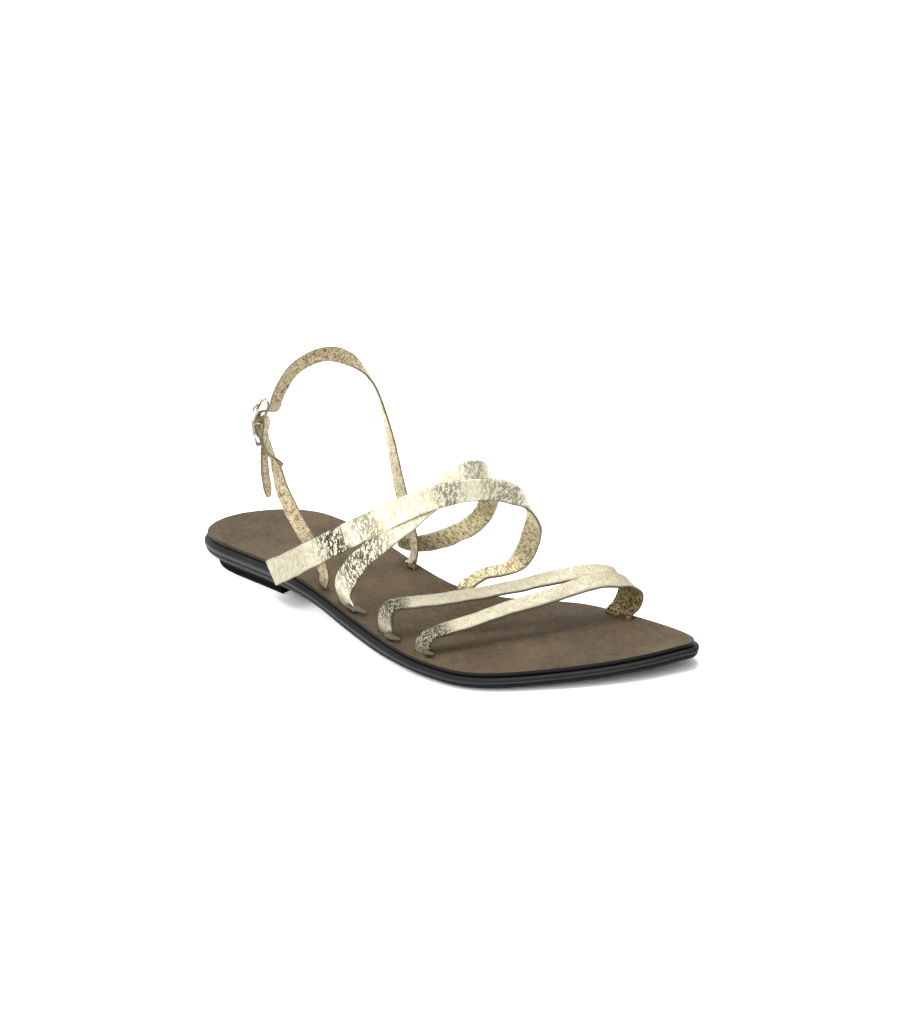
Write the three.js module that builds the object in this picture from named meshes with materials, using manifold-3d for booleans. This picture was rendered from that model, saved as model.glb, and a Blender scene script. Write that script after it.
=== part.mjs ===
import * as THREE from "three";
import { mergeVertices } from "three/addons/utils/BufferGeometryUtils.js";
import Module from "manifold-3d";

// Flat strappy sandal for the right foot, in millimetres.
// +X runs from heel to toe, +Y to the inner side of the foot, +Z up from the floor.

const wasm = await Module();
wasm.setup();

// Driving dimensions.
const insoleLength = 250;
const ballWidth = 77;
const insoleThickness = 1.6;
const heelInsoleHeight = 15.6;
const ballInsoleHeight = 6.2;
const toeInsoleHeight = 9.9;
const heelLiftHeight = 6.6;
const heelLiftInset = 4;
const outsoleLip = 1.7;
const insoleEdgeEase = 0.45;
const ankleLoopRise = 88;
const instepRise = 57;
const toeStrapRise = 17.5;
const wideStrapWidth = 10.5;
const ankleStrapWidth = 6.2;
const toeStrapWidth = 7.6;
const wideStrapThickness = 1.3;
const ankleStrapThickness = 1.1;
const buckleLength = 17;
const buckleWidth = 11.5;
const buckleWire = 1.7;
const buckleBow = 1.5;
const buckleCorner = 2.6;
const strapLead = 3;
const foldLead = 2.5;
const foldFlat = 0.2;
const prongWire = 1.1;
const prongSlotHeight = 7.1;
const prongSlotDepth = 14;
const prongSlotRise = 0.85;

// Clearances.
const layerGap = 0.3;
const slotClearance = 0.45;
const rootGap = 1.1;
const rootStand = 1.2;
const pinGap = 0.3;
const prongSlotClearance = 0.7;

// Where the sole changes height, as shares of the insole length.
const heelSeatEnd = 0.22;
const insoleFallEnd = 0.68;
const shankStart = 0.315;
const treadStart = 0.58;
const toeSpringStart = 0.72;
const heelCentre = 0.13;

// Where the buckle sits: shares of the insole length, the ball width and the ankle loop's rise.
const buckleAlong = 0.2713;
const buckleSide = -0.39;
const buckleHeight = 0.72;
const buckleUp = new THREE.Vector3(0.04, 0.22, 0.97).normalize();
const buckleAcross = new THREE.Vector3(0.42, -0.9, 0.1);

const outsoleColor = new THREE.Color("#1b1a1a");
const liftColor = new THREE.Color("#161515");
const insoleColor = new THREE.Color("#7d6c55");
const goldColor = new THREE.Color("#d8cfa9");
const metalColor = new THREE.Color("#d9d2c2");

// Plan of the insole: share of the length, then inner and outer edge as shares of the ball width.
const plan = [
  { along: 0, inner: -0.04, outer: -0.04 },
  { along: 0.008, inner: 0.07, outer: -0.148 },
  { along: 0.026, inner: 0.155, outer: -0.225 },
  { along: 0.052, inner: 0.236, outer: -0.27 },
  { along: 0.088, inner: 0.3, outer: -0.3 },
  { along: 0.132, inner: 0.332, outer: -0.318 },
  { along: 0.18, inner: 0.32, outer: -0.335 },
  { along: 0.24, inner: 0.285, outer: -0.358 },
  { along: 0.312, inner: 0.236, outer: -0.398 },
  { along: 0.384, inner: 0.181, outer: -0.444 },
  { along: 0.452, inner: 0.135, outer: -0.498 },
  { along: 0.512, inner: 0.112, outer: -0.542 },
  { along: 0.56, inner: 0.12, outer: -0.579 },
  { along: 0.608, inner: 0.166, outer: -0.612 },
  { along: 0.656, inner: 0.239, outer: -0.636 },
  { along: 0.7, inner: 0.306, outer: -0.645 },
  { along: 0.744, inner: 0.349, outer: -0.64 },
  { along: 0.784, inner: 0.358, outer: -0.602 },
  { along: 0.824, inner: 0.354, outer: -0.52 },
  { along: 0.864, inner: 0.341, outer: -0.41 },
  { along: 0.904, inner: 0.321, outer: -0.287 },
  { along: 0.94, inner: 0.296, outer: -0.157 },
  { along: 0.97, inner: 0.264, outer: -0.02 },
  { along: 0.99, inner: 0.228, outer: 0.105 },
  { along: 1, inner: 0.172, outer: 0.172 },
];
const planSteps = 48;
const liftSteps = 18;
const liftEndStep = 13.92;
const wireSides = 8;
const wideStrapSteps = 4;
const ankleStrapSteps = 3;
const frameSteps = 40;
const barSteps = 8;
const ringSteps = 14;
const prongSteps = 10;
const eyeSteps = 12;

// Side of the outsole, from its top edge down: share of the lip past the insole and of the height.
const soleSide = [
  { out: -0.37, share: 1 },
  { out: 0.12, share: 0.96 },
  { out: 0.82, share: 0.8 },
  { out: 1, share: 0.7 },
  { out: 0.96, share: 0.52 },
  { out: 0.66, share: 0.48 },
  { out: 0.62, share: 0.42 },
  { out: 0.8, share: 0.38 },
  { out: 0.6, share: 0.16 },
  { out: 0.2, share: 0.05 },
  { out: 0, share: 0 },
];

// Edge of the insole, from its upper face down: share of the eased edge and of the height.
const insoleSide = [
  { out: -1, share: 1 },
  { out: 0, share: 0.72 },
  { out: 0, share: 0.2 },
  { out: -0.44, share: 0 },
];

// Side of the heel lift, from its top down: share of the inset from the insole's edge and of the height.
const liftSide = [
  { out: -0.6, share: 1 },
  { out: -0.85, share: 0.72 },
  { out: -0.87, share: 0.5 },
  { out: -1, share: 0.44 },
  { out: -1, share: 0.36 },
  { out: -0.9, share: 0.3 },
  { out: -1.05, share: 0 },
];

// Straps: share of the insole length, share of the ball width, share of the strap's rise above the
// insole, the direction of its width and its width as a share of the full one.
const rearInstepStrap = [
  { along: 0.2972, side: -0.512, up: 0.052, ax: -0.62, ay: 0, az: 0.78, w: 1.06 },
  { along: 0.3528, side: -0.494, up: 0.2, ax: -0.58, ay: 0, az: 0.82, w: 1.03 },
  { along: 0.4094, side: -0.464, up: 0.366, ax: -0.51, ay: -0.07, az: 0.86, w: 1 },
  { along: 0.5105, side: -0.403, up: 0.655, ax: -0.5, ay: -0.05, az: 0.86, w: 0.98 },
  { along: 0.5873, side: -0.273, up: 0.865, ax: -0.4, ay: 0.08, az: 0.91, w: 0.92 },
  { along: 0.6456, side: -0.09, up: 0.935, ax: -0.2, ay: 0.3, az: 0.93, w: 0.82 },
  { along: 0.6744, side: 0.058, up: 0.888, ax: -0.22, ay: 0.5, az: 0.85, w: 0.82 },
  { along: 0.684, side: 0.16, up: 0.775, ax: -0.75, ay: 0.5, az: 0.42, w: 0.86 },
  { along: 0.6783, side: 0.224, up: 0.61, ax: -0.93, ay: 0.3, az: 0.1, w: 0.95 },
  { along: 0.6597, side: 0.252, up: 0.45, ax: -0.97, ay: 0.1, az: -0.2, w: 0.95 },
  { along: 0.6331, side: 0.256, up: 0.275, ax: -0.93, ay: 0.2, az: 0.2, w: 0.95 },
  { along: 0.6026, side: 0.225, up: 0.168, ax: -0.78, ay: 0.55, az: 0.15, w: 0.8 },
  { along: 0.5744, side: 0.165, up: 0.12, ax: -0.85, ay: 0.4, az: 0.1, w: 0.7 },
  { along: 0.552, side: 0.092, up: 0, ax: -0.99, ay: -0.1, az: 0, w: 0.72 },
];

const frontInstepStrap = [
  { along: 0.456, side: -0.455, up: 0, ax: -0.97, ay: 0.24, az: 0, w: 1.2 },
  { along: 0.4535, side: -0.47, up: 0.13, ax: -0.96, ay: 0.16, az: 0.2, w: 1.05 },
  { along: 0.4731, side: -0.462, up: 0.28, ax: -0.94, ay: -0.05, az: 0.3, w: 0.9 },
  { along: 0.5057, side: -0.434, up: 0.45, ax: -0.88, ay: 0.02, az: 0.45, w: 0.82 },
  { along: 0.5423, side: -0.385, up: 0.6, ax: -0.85, ay: 0.06, az: 0.5, w: 0.82 },
  { along: 0.5749, side: -0.29, up: 0.755, ax: -0.77, ay: 0.1, az: 0.6, w: 0.82 },
  { along: 0.6015, side: -0.17, up: 0.905, ax: -0.72, ay: 0.13, az: 0.65, w: 0.82 },
  { along: 0.6168, side: -0.045, up: 1.015, ax: -0.62, ay: 0.3, az: 0.7, w: 0.82 },
  { along: 0.6225, side: 0.07, up: 0.99, ax: -0.55, ay: 0.6, az: 0.55, w: 0.82 },
  { along: 0.6165, side: 0.152, up: 0.875, ax: -0.85, ay: 0.4, az: 0.35, w: 0.82 },
  { along: 0.5875, side: 0.205, up: 0.67, ax: -0.95, ay: -0.05, az: -0.1, w: 0.82 },
  { along: 0.5498, side: 0.228, up: 0.465, ax: -0.88, ay: 0.08, az: 0.43, w: 0.82 },
  { along: 0.5072, side: 0.212, up: 0.325, ax: -0.55, ay: 0.05, az: 0.8, w: 0.74 },
  { along: 0.4567, side: 0.17, up: 0.202, ax: -0.1, ay: -0.25, az: 0.95, w: 0.78 },
  { along: 0.4206, side: 0.145, up: 0.15, ax: 0.05, ay: -0.25, az: 0.95, w: 0.72 },
  { along: 0.3885, side: 0.135, up: 0.13, ax: 0.1, ay: -0.25, az: 0.95, w: 0.62 },
];

const ankleStrap = [
  { along: 0.428, side: 0.104, up: 0, ax: -0.97, ay: 0.23, az: 0, w: 0.85 },
  { along: 0.4305, side: 0.124, up: 0.09, ax: -0.97, ay: 0.25, az: 0, w: 0.9 },
  { along: 0.4172, side: 0.143, up: 0.195, ax: -0.99, ay: 0.02, az: 0, w: 1 },
  { along: 0.3992, side: 0.162, up: 0.31, ax: -0.98, ay: -0.08, az: 0, w: 1 },
  { along: 0.3849, side: 0.18, up: 0.45, ax: -0.98, ay: 0.05, az: 0, w: 1 },
  { along: 0.3734, side: 0.193, up: 0.58, ax: -0.95, ay: 0.27, az: 0, w: 1 },
  { along: 0.3613, side: 0.192, up: 0.725, ax: -0.85, ay: 0.5, az: 0.05, w: 1 },
  { along: 0.3528, side: 0.176, up: 0.815, ax: -0.85, ay: 0.5, az: 0.12, w: 1 },
  { along: 0.3453, side: 0.136, up: 0.893, ax: -0.75, ay: 0.6, az: 0.27, w: 1 },
  { along: 0.3387, side: 0.062, up: 0.957, ax: -0.25, ay: 0.35, az: 0.88, w: 1 },
  { along: 0.3299, side: -0.05, up: 1, ax: 0, ay: 0, az: 1, w: 1 },
  { along: 0.318, side: -0.158, up: 0.99, ax: 0, ay: -0.3, az: 0.95, w: 1 },
  { along: 0.3076, side: -0.25, up: 0.946, ax: 0, ay: -0.65, az: 0.75, w: 1 },
  { along: 0.3, side: -0.313, up: 0.88, ax: 0.02, ay: -0.82, az: 0.56, w: 1 },
  { along: 0.2952, side: -0.337, up: 0.833, ax: 0.02, ay: -0.86, az: 0.45, w: 1 },
  { along: 0.2886, side: -0.352, up: 0.782, ax: 0.15, ay: -0.88, az: 0.38, w: 1 },
];

const ankleTail = [
  { along: 0.2825, side: -0.439, up: 0.5, ax: 0.35, ay: -0.93, az: 0, w: 0.95 },
  { along: 0.289, side: -0.453, up: 0.425, ax: 0.28, ay: -0.95, az: 0.05, w: 0.85 },
  { along: 0.2933, side: -0.463, up: 0.39, ax: 0.25, ay: -0.95, az: 0.1, w: 0.35 },
];

const ankleStub = [
  { along: 0.378, side: -0.385, up: 0, ax: 0.97, ay: -0.22, az: 0, w: 0.85 },
  { along: 0.3894, side: -0.402, up: 0.075, ax: 0.95, ay: -0.1, az: 0.2, w: 0.95 },
  { along: 0.385, side: -0.424, up: 0.17, ax: 0.88, ay: 0.2, az: 0.42, w: 1.06 },
  { along: 0.3655, side: -0.438, up: 0.26, ax: 0.8, ay: 0.35, az: 0.5, w: 1.1 },
  { along: 0.3422, side: -0.441, up: 0.345, ax: 0.78, ay: 0.35, az: 0.52, w: 1.1 },
  { along: 0.3205, side: -0.435, up: 0.44, ax: 0.78, ay: 0.25, az: 0.55, w: 1.05 },
  { along: 0.3055, side: -0.42, up: 0.53, ax: 0.82, ay: 0, az: 0.5, w: 1 },
];

const rearToeStrap = [
  { along: 0.568, side: -0.532, up: 0, ax: -0.97, ay: 0.2, az: 0, w: 1.25 },
  { along: 0.5674, side: -0.53, up: 0.35, ax: -0.96, ay: 0.14, az: 0.15, w: 1.15 },
  { along: 0.5758, side: -0.508, up: 0.64, ax: -0.85, ay: 0.35, az: 0.2, w: 1.05 },
  { along: 0.5908, side: -0.445, up: 0.71, ax: -0.72, ay: 0.6, az: 0.3, w: 0.96 },
  { along: 0.6148, side: -0.345, up: 0.71, ax: -0.7, ay: 0.63, az: 0.3, w: 0.95 },
  { along: 0.6509, side: -0.22, up: 0.77, ax: -0.7, ay: 0.63, az: 0.3, w: 0.95 },
  { along: 0.691, side: -0.08, up: 0.85, ax: -0.7, ay: 0.63, az: 0.3, w: 0.95 },
  { along: 0.7452, side: 0.13, up: 0.985, ax: -0.68, ay: 0.6, az: 0.4, w: 1 },
  { along: 0.7812, side: 0.275, up: 1, ax: -0.7, ay: 0.5, az: 0.45, w: 1 },
  { along: 0.804, side: 0.365, up: 0.84, ax: -0.85, ay: 0.35, az: 0.35, w: 1 },
  { along: 0.8116, side: 0.4, up: 0.5, ax: -0.97, ay: 0.15, az: 0.15, w: 1 },
  { along: 0.8102, side: 0.366, up: 0.2, ax: -0.99, ay: 0.05, az: 0, w: 1 },
  { along: 0.808, side: 0.312, up: 0, ax: -1, ay: 0.04, az: 0, w: 1 },
];

const frontToeStrap = [
  { along: 0.66, side: -0.57, up: 0, ax: -1, ay: 0.03, az: 0, w: 1.08 },
  { along: 0.6613, side: -0.562, up: 0.25, ax: -0.98, ay: 0.1, az: 0.1, w: 1.03 },
  { along: 0.6725, side: -0.5, up: 0.42, ax: -0.78, ay: 0.5, az: 0.25, w: 0.95 },
  { along: 0.6986, side: -0.352, up: 0.52, ax: -0.7, ay: 0.62, az: 0.32, w: 0.95 },
  { along: 0.7248, side: -0.215, up: 0.65, ax: -0.68, ay: 0.6, az: 0.38, w: 0.95 },
  { along: 0.7649, side: 0.008, up: 0.78, ax: -0.65, ay: 0.58, az: 0.45, w: 0.95 },
  { along: 0.8031, side: 0.225, up: 0.9, ax: -0.7, ay: 0.5, az: 0.48, w: 1 },
  { along: 0.8269, side: 0.345, up: 0.77, ax: -0.85, ay: 0.3, az: 0.35, w: 1 },
  { along: 0.8356, side: 0.388, up: 0.48, ax: -0.97, ay: 0.12, az: 0.15, w: 1 },
  { along: 0.8362, side: 0.358, up: 0.2, ax: -0.99, ay: 0.05, az: 0, w: 1 },
  { along: 0.834, side: 0.304, up: 0, ax: -1, ay: 0.05, az: 0, w: 1 },
];

function smooth(value, start, end) {
  const t = THREE.MathUtils.clamp((value - start) / (end - start), 0, 1);
  return t * t * (3 - 2 * t);
}

// Height of the insole's upper face at a distance from the heel.
function insoleTop(x) {
  const share = THREE.MathUtils.clamp(x / insoleLength, 0, 1);
  const fall = smooth(share, heelSeatEnd, insoleFallEnd);
  const flat = heelInsoleHeight + (ballInsoleHeight - heelInsoleHeight) * fall;
  const spring = Math.max(0, (share - toeSpringStart) / (1 - toeSpringStart));
  return flat + (toeInsoleHeight - ballInsoleHeight) * spring * spring;
}

// Height of the outsole's underside: a raised heel seat and shank, a flat tread and the toe spring.
function outsoleBottom(x) {
  const share = THREE.MathUtils.clamp(x / insoleLength, 0, 1);
  const shank = heelLiftHeight * (1 - smooth(share, shankStart, treadStart));
  const spring = Math.max(0, (share - toeSpringStart) / (1 - toeSpringStart));
  return shank + (toeInsoleHeight - ballInsoleHeight) * spring * spring;
}

function outsoleTop(x) {
  return insoleTop(x) - insoleThickness - layerGap;
}

// The plan as one smooth closed curve: heel, inner side, toe, outer side.
const planPoints = plan.map((row) => new THREE.Vector3(row.along * insoleLength, row.inner * ballWidth, 0));
for (let i = plan.length - 2; i > 0; i -= 1) {
  planPoints.push(new THREE.Vector3(plan[i].along * insoleLength, plan[i].outer * ballWidth, 0));
}
const planCurve = new THREE.CatmullRomCurve3(planPoints, true, "centripetal");

// A point of the plan curve moved outwards by a distance.
function planPoint(t, out) {
  const point = planCurve.getPoint(t);
  const tangent = planCurve.getTangent(t);
  point.x += -tangent.y * out;
  point.y += tangent.x * out;
  return point;
}

// Joins rings of equal length into a closed body; the ends are capped or the loop closes on itself.
function bodyFromRings(rings, endless) {
  const count = rings[0].length;
  const positions = rings.flat().flatMap((p) => [p.x, p.y, p.z]);
  const faces = [];
  const spans = endless ? rings.length : rings.length - 1;
  for (let i = 0; i < spans; i += 1) {
    const here = i * count;
    const next = ((i + 1) % rings.length) * count;
    for (let j = 0; j < count; j += 1) {
      const k = (j + 1) % count;
      faces.push(here + j, here + k, next + k, here + j, next + k, next + j);
    }
  }
  if (!endless) {
    const last = (rings.length - 1) * count;
    for (let j = 0; j < count / 2 - 1; j += 1) {
      const k = count - 1 - j;
      faces.push(j, k, k - 1, j, k - 1, j + 1);
      faces.push(last + j, last + k - 1, last + k, last + j, last + j + 1, last + k - 1);
    }
  }
  const geometry = new THREE.BufferGeometry();
  geometry.setAttribute("position", new THREE.Float32BufferAttribute(positions, 3));
  geometry.setIndex(faces);
  return geometry;
}

// Turns a geometry into a solid for joining and cutting, facing outwards.
function solidOf(geometry) {
  const bare = geometry.clone();
  bare.deleteAttribute("normal");
  bare.deleteAttribute("uv");
  const merged = mergeVertices(bare, 1e-5);
  const index = Array.from(merged.index.array);
  const kept = [];
  for (let i = 0; i < index.length; i += 3) {
    const [a, b, c] = index.slice(i, i + 3);
    if (a !== b && b !== c && a !== c) kept.push(a, b, c);
  }
  const place = merged.getAttribute("position");
  let volume = 0;
  for (let i = 0; i < kept.length; i += 3) {
    const a = new THREE.Vector3().fromBufferAttribute(place, kept[i]);
    const b = new THREE.Vector3().fromBufferAttribute(place, kept[i + 1]);
    const c = new THREE.Vector3().fromBufferAttribute(place, kept[i + 2]);
    volume += a.dot(b.cross(c));
  }
  if (volume < 0) {
    for (let i = 0; i < kept.length; i += 3) {
      const held = kept[i + 1];
      kept[i + 1] = kept[i + 2];
      kept[i + 2] = held;
    }
  }
  const vertProperties = new Float32Array(place.array);
  const triVerts = new Uint32Array(kept);
  return new wasm.Manifold(new wasm.Mesh({ numProp: 3, vertProperties, triVerts }));
}

function geometryOf(solid) {
  const mesh = solid.getMesh();
  const geometry = new THREE.BufferGeometry();
  geometry.setAttribute("position", new THREE.BufferAttribute(new Float32Array(mesh.vertProperties), 3));
  geometry.setIndex(Array.from(mesh.triVerts));
  geometry.computeVertexNormals();
  return geometry;
}

// A flat body that follows the plan from the heel to a step of the curve, with a profiled side.
function layeredBody(side, reach, topAt, bottomAt, endStep, steps) {
  const rings = side.map((row) => {
    const inner = [];
    const outer = [];
    for (let i = 0; i <= steps; i += 1) {
      const t = (0.5 * endStep * i) / steps / planSteps;
      inner.push(planPoint(t, row.out * reach));
      outer.push(planPoint(1 - t, row.out * reach));
    }
    const ring = [...inner, ...outer.reverse()];
    for (const point of ring) {
      const top = topAt(point.x);
      const bottom = bottomAt(point.x);
      point.z = bottom + (top - bottom) * row.share;
    }
    return ring;
  });
  return solidOf(bodyFromRings(rings, false));
}

// Eight-sided section of a strap with eased edges.
function strapSection(width, thickness) {
  const w = width / 2;
  const t = thickness / 2;
  const ease = t * 0.55;
  return [
    [w - ease, t],
    [-w + ease, t],
    [-w, t - ease],
    [-w, -t + ease],
    [-w + ease, -t],
    [w - ease, -t],
    [w, -t + ease],
    [w, t - ease],
  ];
}

// Places a strap's rows in the shoe's space.
function strapPath(rows, rise) {
  return rows.map((row) => {
    const x = row.along * insoleLength;
    return {
      at: new THREE.Vector3(x, row.side * ballWidth, insoleTop(x) + Math.max(row.up * rise, rootStand)),
      across: new THREE.Vector3(row.ax, row.ay, row.az).normalize(),
      w: row.w,
    };
  });
}

// The row that carries a strap down into its slot.
function rootBelow(row) {
  const at = row.at.clone();
  at.z = outsoleTop(at.x) + rootGap;
  return { at, across: row.across.clone(), w: row.w };
}

// A strap swept along its rows, turning with the direction of its width.
function strapBody(path, width, thickness, stepsPerRow) {
  const centre = new THREE.CatmullRomCurve3(path.map((row) => row.at), false, "centripetal");
  const lean = new THREE.CatmullRomCurve3(path.map((row) => row.across), false, "catmullrom", 0.5);
  const steps = (path.length - 1) * stepsPerRow;
  const rings = [];
  for (let i = 0; i <= steps; i += 1) {
    const t = i / steps;
    const at = centre.getPoint(t);
    const tangent = centre.getTangent(t);
    const across = lean.getPoint(t);
    across.addScaledVector(tangent, -across.dot(tangent)).normalize();
    const face = new THREE.Vector3().crossVectors(tangent, across);
    const row = Math.min(Math.floor(t * (path.length - 1)), path.length - 2);
    const w = THREE.MathUtils.lerp(path[row].w, path[row + 1].w, t * (path.length - 1) - row);
    rings.push(
      strapSection(width * w, thickness).map(([a, b]) =>
        at.clone().addScaledVector(across, a).addScaledVector(face, b),
      ),
    );
  }
  return solidOf(bodyFromRings(rings, false));
}

// A round wire along a curve.
function wireBody(points, diameter, endless, steps) {
  const curve = new THREE.CatmullRomCurve3(points, endless, "centripetal");
  const frames = curve.computeFrenetFrames(steps, endless);
  const rings = [];
  for (let i = 0; i < (endless ? steps : steps + 1); i += 1) {
    const at = curve.getPointAt(i / steps);
    const ring = [];
    for (let j = 0; j < wireSides; j += 1) {
      const angle = (j / wireSides) * Math.PI * 2;
      const point = at.clone();
      point.addScaledVector(frames.normals[i], (Math.cos(angle) * diameter) / 2);
      point.addScaledVector(frames.binormals[i], (Math.sin(angle) * diameter) / 2);
      ring.push(point);
    }
    rings.push(ring);
  }
  return solidOf(bodyFromRings(rings, endless));
}

// A box that clears the root of a strap through the insole.
function slotBody(row, width, thickness) {
  const box = new THREE.BoxGeometry(
    width * row.w + 2 * slotClearance,
    thickness + 2 * slotClearance,
    insoleThickness * 4,
  );
  const turn = Math.atan2(row.across.y, row.across.x);
  box.rotateZ(turn);
  box.translate(row.at.x, row.at.y, insoleTop(row.at.x));
  return solidOf(box);
}

function joined(solids) {
  return solids.reduce((whole, solid) => whole.add(solid));
}

// Drops the slivers that a join can leave.
function largestPiece(solid) {
  return solid.decompose().reduce((best, piece) => (piece.volume() > best.volume() ? piece : best));
}

// Sole.
const outsole = layeredBody(soleSide, outsoleLip, outsoleTop, outsoleBottom, planSteps, planSteps);
const insoleUnder = (x) => insoleTop(x) - insoleThickness;
const insoleBlank = layeredBody(insoleSide, insoleEdgeEase, insoleTop, insoleUnder, planSteps, planSteps);

// Heel lift: the rear of the plan, ended by a straight front edge.
const liftTop = () => heelLiftHeight - layerGap;
const liftBottom = () => 0;
const heelLift = layeredBody(liftSide, heelLiftInset, liftTop, liftBottom, liftEndStep, liftSteps);

// Strap paths.
const rearInstepPath = strapPath(rearInstepStrap, instepRise);
const frontInstepPath = strapPath(frontInstepStrap, instepRise);
const anklePath = strapPath(ankleStrap, ankleLoopRise);
const tailPath = strapPath(ankleTail, ankleLoopRise);
const stubPath = strapPath(ankleStub, ankleLoopRise);
const rearToePath = strapPath(rearToeStrap, toeStrapRise);
const frontToePath = strapPath(frontToeStrap, toeStrapRise);

// Buckle frame of reference: up along the strap, across its width, and out from the foot.
const buckleCentre = new THREE.Vector3(buckleAlong * insoleLength, buckleSide * ballWidth, 0);
buckleCentre.z = insoleTop(buckleCentre.x) + buckleHeight * ankleLoopRise;
buckleAcross.addScaledVector(buckleUp, -buckleAcross.dot(buckleUp)).normalize();
const buckleOut = new THREE.Vector3().crossVectors(buckleAcross, buckleUp);

function atBuckle(up, across, out) {
  return buckleCentre
    .clone()
    .addScaledVector(buckleUp, up)
    .addScaledVector(buckleAcross, across)
    .addScaledVector(buckleOut, out);
}

function buckleRow(up, out, w) {
  return { at: atBuckle(up, 0, out), across: buckleAcross.clone(), w };
}

const wireRadius = buckleWire / 2;
const foldRadius = wireRadius + 1.9 * pinGap + ankleStrapThickness / 2;

// The loop passes behind the frame's upper end, over the bar and behind its lower end.
const half = buckleLength / 2;
const behind = wireRadius + 2 * pinGap + ankleStrapThickness / 2;
const throughBuckle = [
  buckleRow(half * 0.45, foldRadius * 0.75, 1),
  buckleRow(0, foldRadius + ankleStrapThickness * 0.85, 1),
  buckleRow(-half * 0.5, foldRadius * 0.6, 1),
  buckleRow(-half + wireRadius, -behind, 1),
  buckleRow(-half - strapLead, -behind * 0.95, 1),
];
const loopPath = [rootBelow(anklePath[0]), ...anklePath, ...throughBuckle, ...tailPath];

// The stub wraps the bar and comes back down inside itself.
const stubFold = [
  buckleRow(-half - foldLead, -behind - ankleStrapThickness * 1.1, 1),
  buckleRow(-half * 0.6, -foldRadius * 0.35, 1),
  buckleRow(-foldRadius * 0.75, foldRadius * 0.75, 1),
  buckleRow(foldFlat, foldRadius, 1),
  buckleRow(foldRadius * 0.74, foldRadius * 0.74, 1),
  buckleRow(foldRadius, 0, 1),
  buckleRow(foldRadius * 0.74, -foldRadius * 0.74, 1),
  buckleRow(-foldFlat, -foldRadius, 1),
  buckleRow(-half * 0.6, -foldRadius * 0.35 - ankleStrapThickness * 0.9, 1),
  buckleRow(-half - foldLead, -behind - ankleStrapThickness * 2, 1),
];
const stubEnd = strapPath(
  [{ along: 0.3085, side: -0.402, up: 0.526, ax: 0.82, ay: 0, az: 0.5, w: 1 }],
  ankleLoopRise,
)[0];
const fullStubPath = [rootBelow(stubPath[0]), ...stubPath, ...stubFold, stubEnd];

const rearInstepPathRooted = [...rearInstepPath, rootBelow(rearInstepPath.at(-1))];
const frontInstepPathRooted = [rootBelow(frontInstepPath[0]), ...frontInstepPath];

// The prong's way through the loop and the fold.
const prongSlot = new THREE.BoxGeometry(prongWire + prongSlotClearance, prongSlotDepth, prongSlotHeight);
prongSlot.applyMatrix4(new THREE.Matrix4().makeBasis(buckleAcross, buckleOut, buckleUp));
prongSlot.translate(...atBuckle(prongSlotRise, 0, 0).toArray());

const upperStraps = joined([
  strapBody(rearInstepPathRooted, wideStrapWidth, wideStrapThickness, wideStrapSteps),
  strapBody(frontInstepPathRooted, wideStrapWidth, wideStrapThickness, wideStrapSteps),
  strapBody(loopPath, ankleStrapWidth, ankleStrapThickness, ankleStrapSteps),
  strapBody(fullStubPath, ankleStrapWidth, ankleStrapThickness, ankleStrapSteps),
]);
const upper = largestPiece(upperStraps.subtract(solidOf(prongSlot)));

const toeStraps = joined([
  strapBody(
    [rootBelow(rearToePath[0]), ...rearToePath, rootBelow(rearToePath.at(-1))],
    toeStrapWidth,
    wideStrapThickness,
    wideStrapSteps,
  ),
  strapBody(
    [rootBelow(frontToePath[0]), ...frontToePath, rootBelow(frontToePath.at(-1))],
    toeStrapWidth,
    wideStrapThickness,
    wideStrapSteps,
  ),
]);

const slots = joined([
  slotBody(rearInstepPath.at(-1), wideStrapWidth, wideStrapThickness),
  slotBody(frontInstepPath[0], wideStrapWidth, wideStrapThickness),
  slotBody(anklePath[0], ankleStrapWidth, ankleStrapThickness),
  slotBody(stubPath[0], ankleStrapWidth, ankleStrapThickness),
  slotBody(rearToePath[0], toeStrapWidth, wideStrapThickness),
  slotBody(rearToePath.at(-1), toeStrapWidth, wideStrapThickness),
  slotBody(frontToePath[0], toeStrapWidth, wideStrapThickness),
  slotBody(frontToePath.at(-1), toeStrapWidth, wideStrapThickness),
]);
const insole = insoleBlank.subtract(slots);

// Buckle: a bowed frame with rounded corners and a bar, and a prong hung on the bar.
const side = buckleWidth / 2;
const framePoints = [
  atBuckle(half, -side + buckleCorner, 0),
  atBuckle(half, side - buckleCorner, 0),
  atBuckle(half - buckleCorner, side, buckleBow * 0.13),
  atBuckle(0, side, buckleBow),
  atBuckle(-half + buckleCorner, side, buckleBow * 0.13),
  atBuckle(-half, side - buckleCorner, 0),
  atBuckle(-half, -side + buckleCorner, 0),
  atBuckle(-half + buckleCorner, -side, buckleBow * 0.13),
  atBuckle(0, -side, buckleBow),
  atBuckle(half - buckleCorner, -side, buckleBow * 0.13),
];
const barPoints = [
  atBuckle(0, -side, buckleBow * 0.6),
  atBuckle(0, -side * 0.75, 0),
  atBuckle(0, side * 0.75, 0),
  atBuckle(0, side, buckleBow * 0.6),
];
const buckleFrame = joined([
  wireBody(framePoints, buckleWire, true, frameSteps),
  wireBody(barPoints, buckleWire, false, barSteps),
]);

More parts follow.
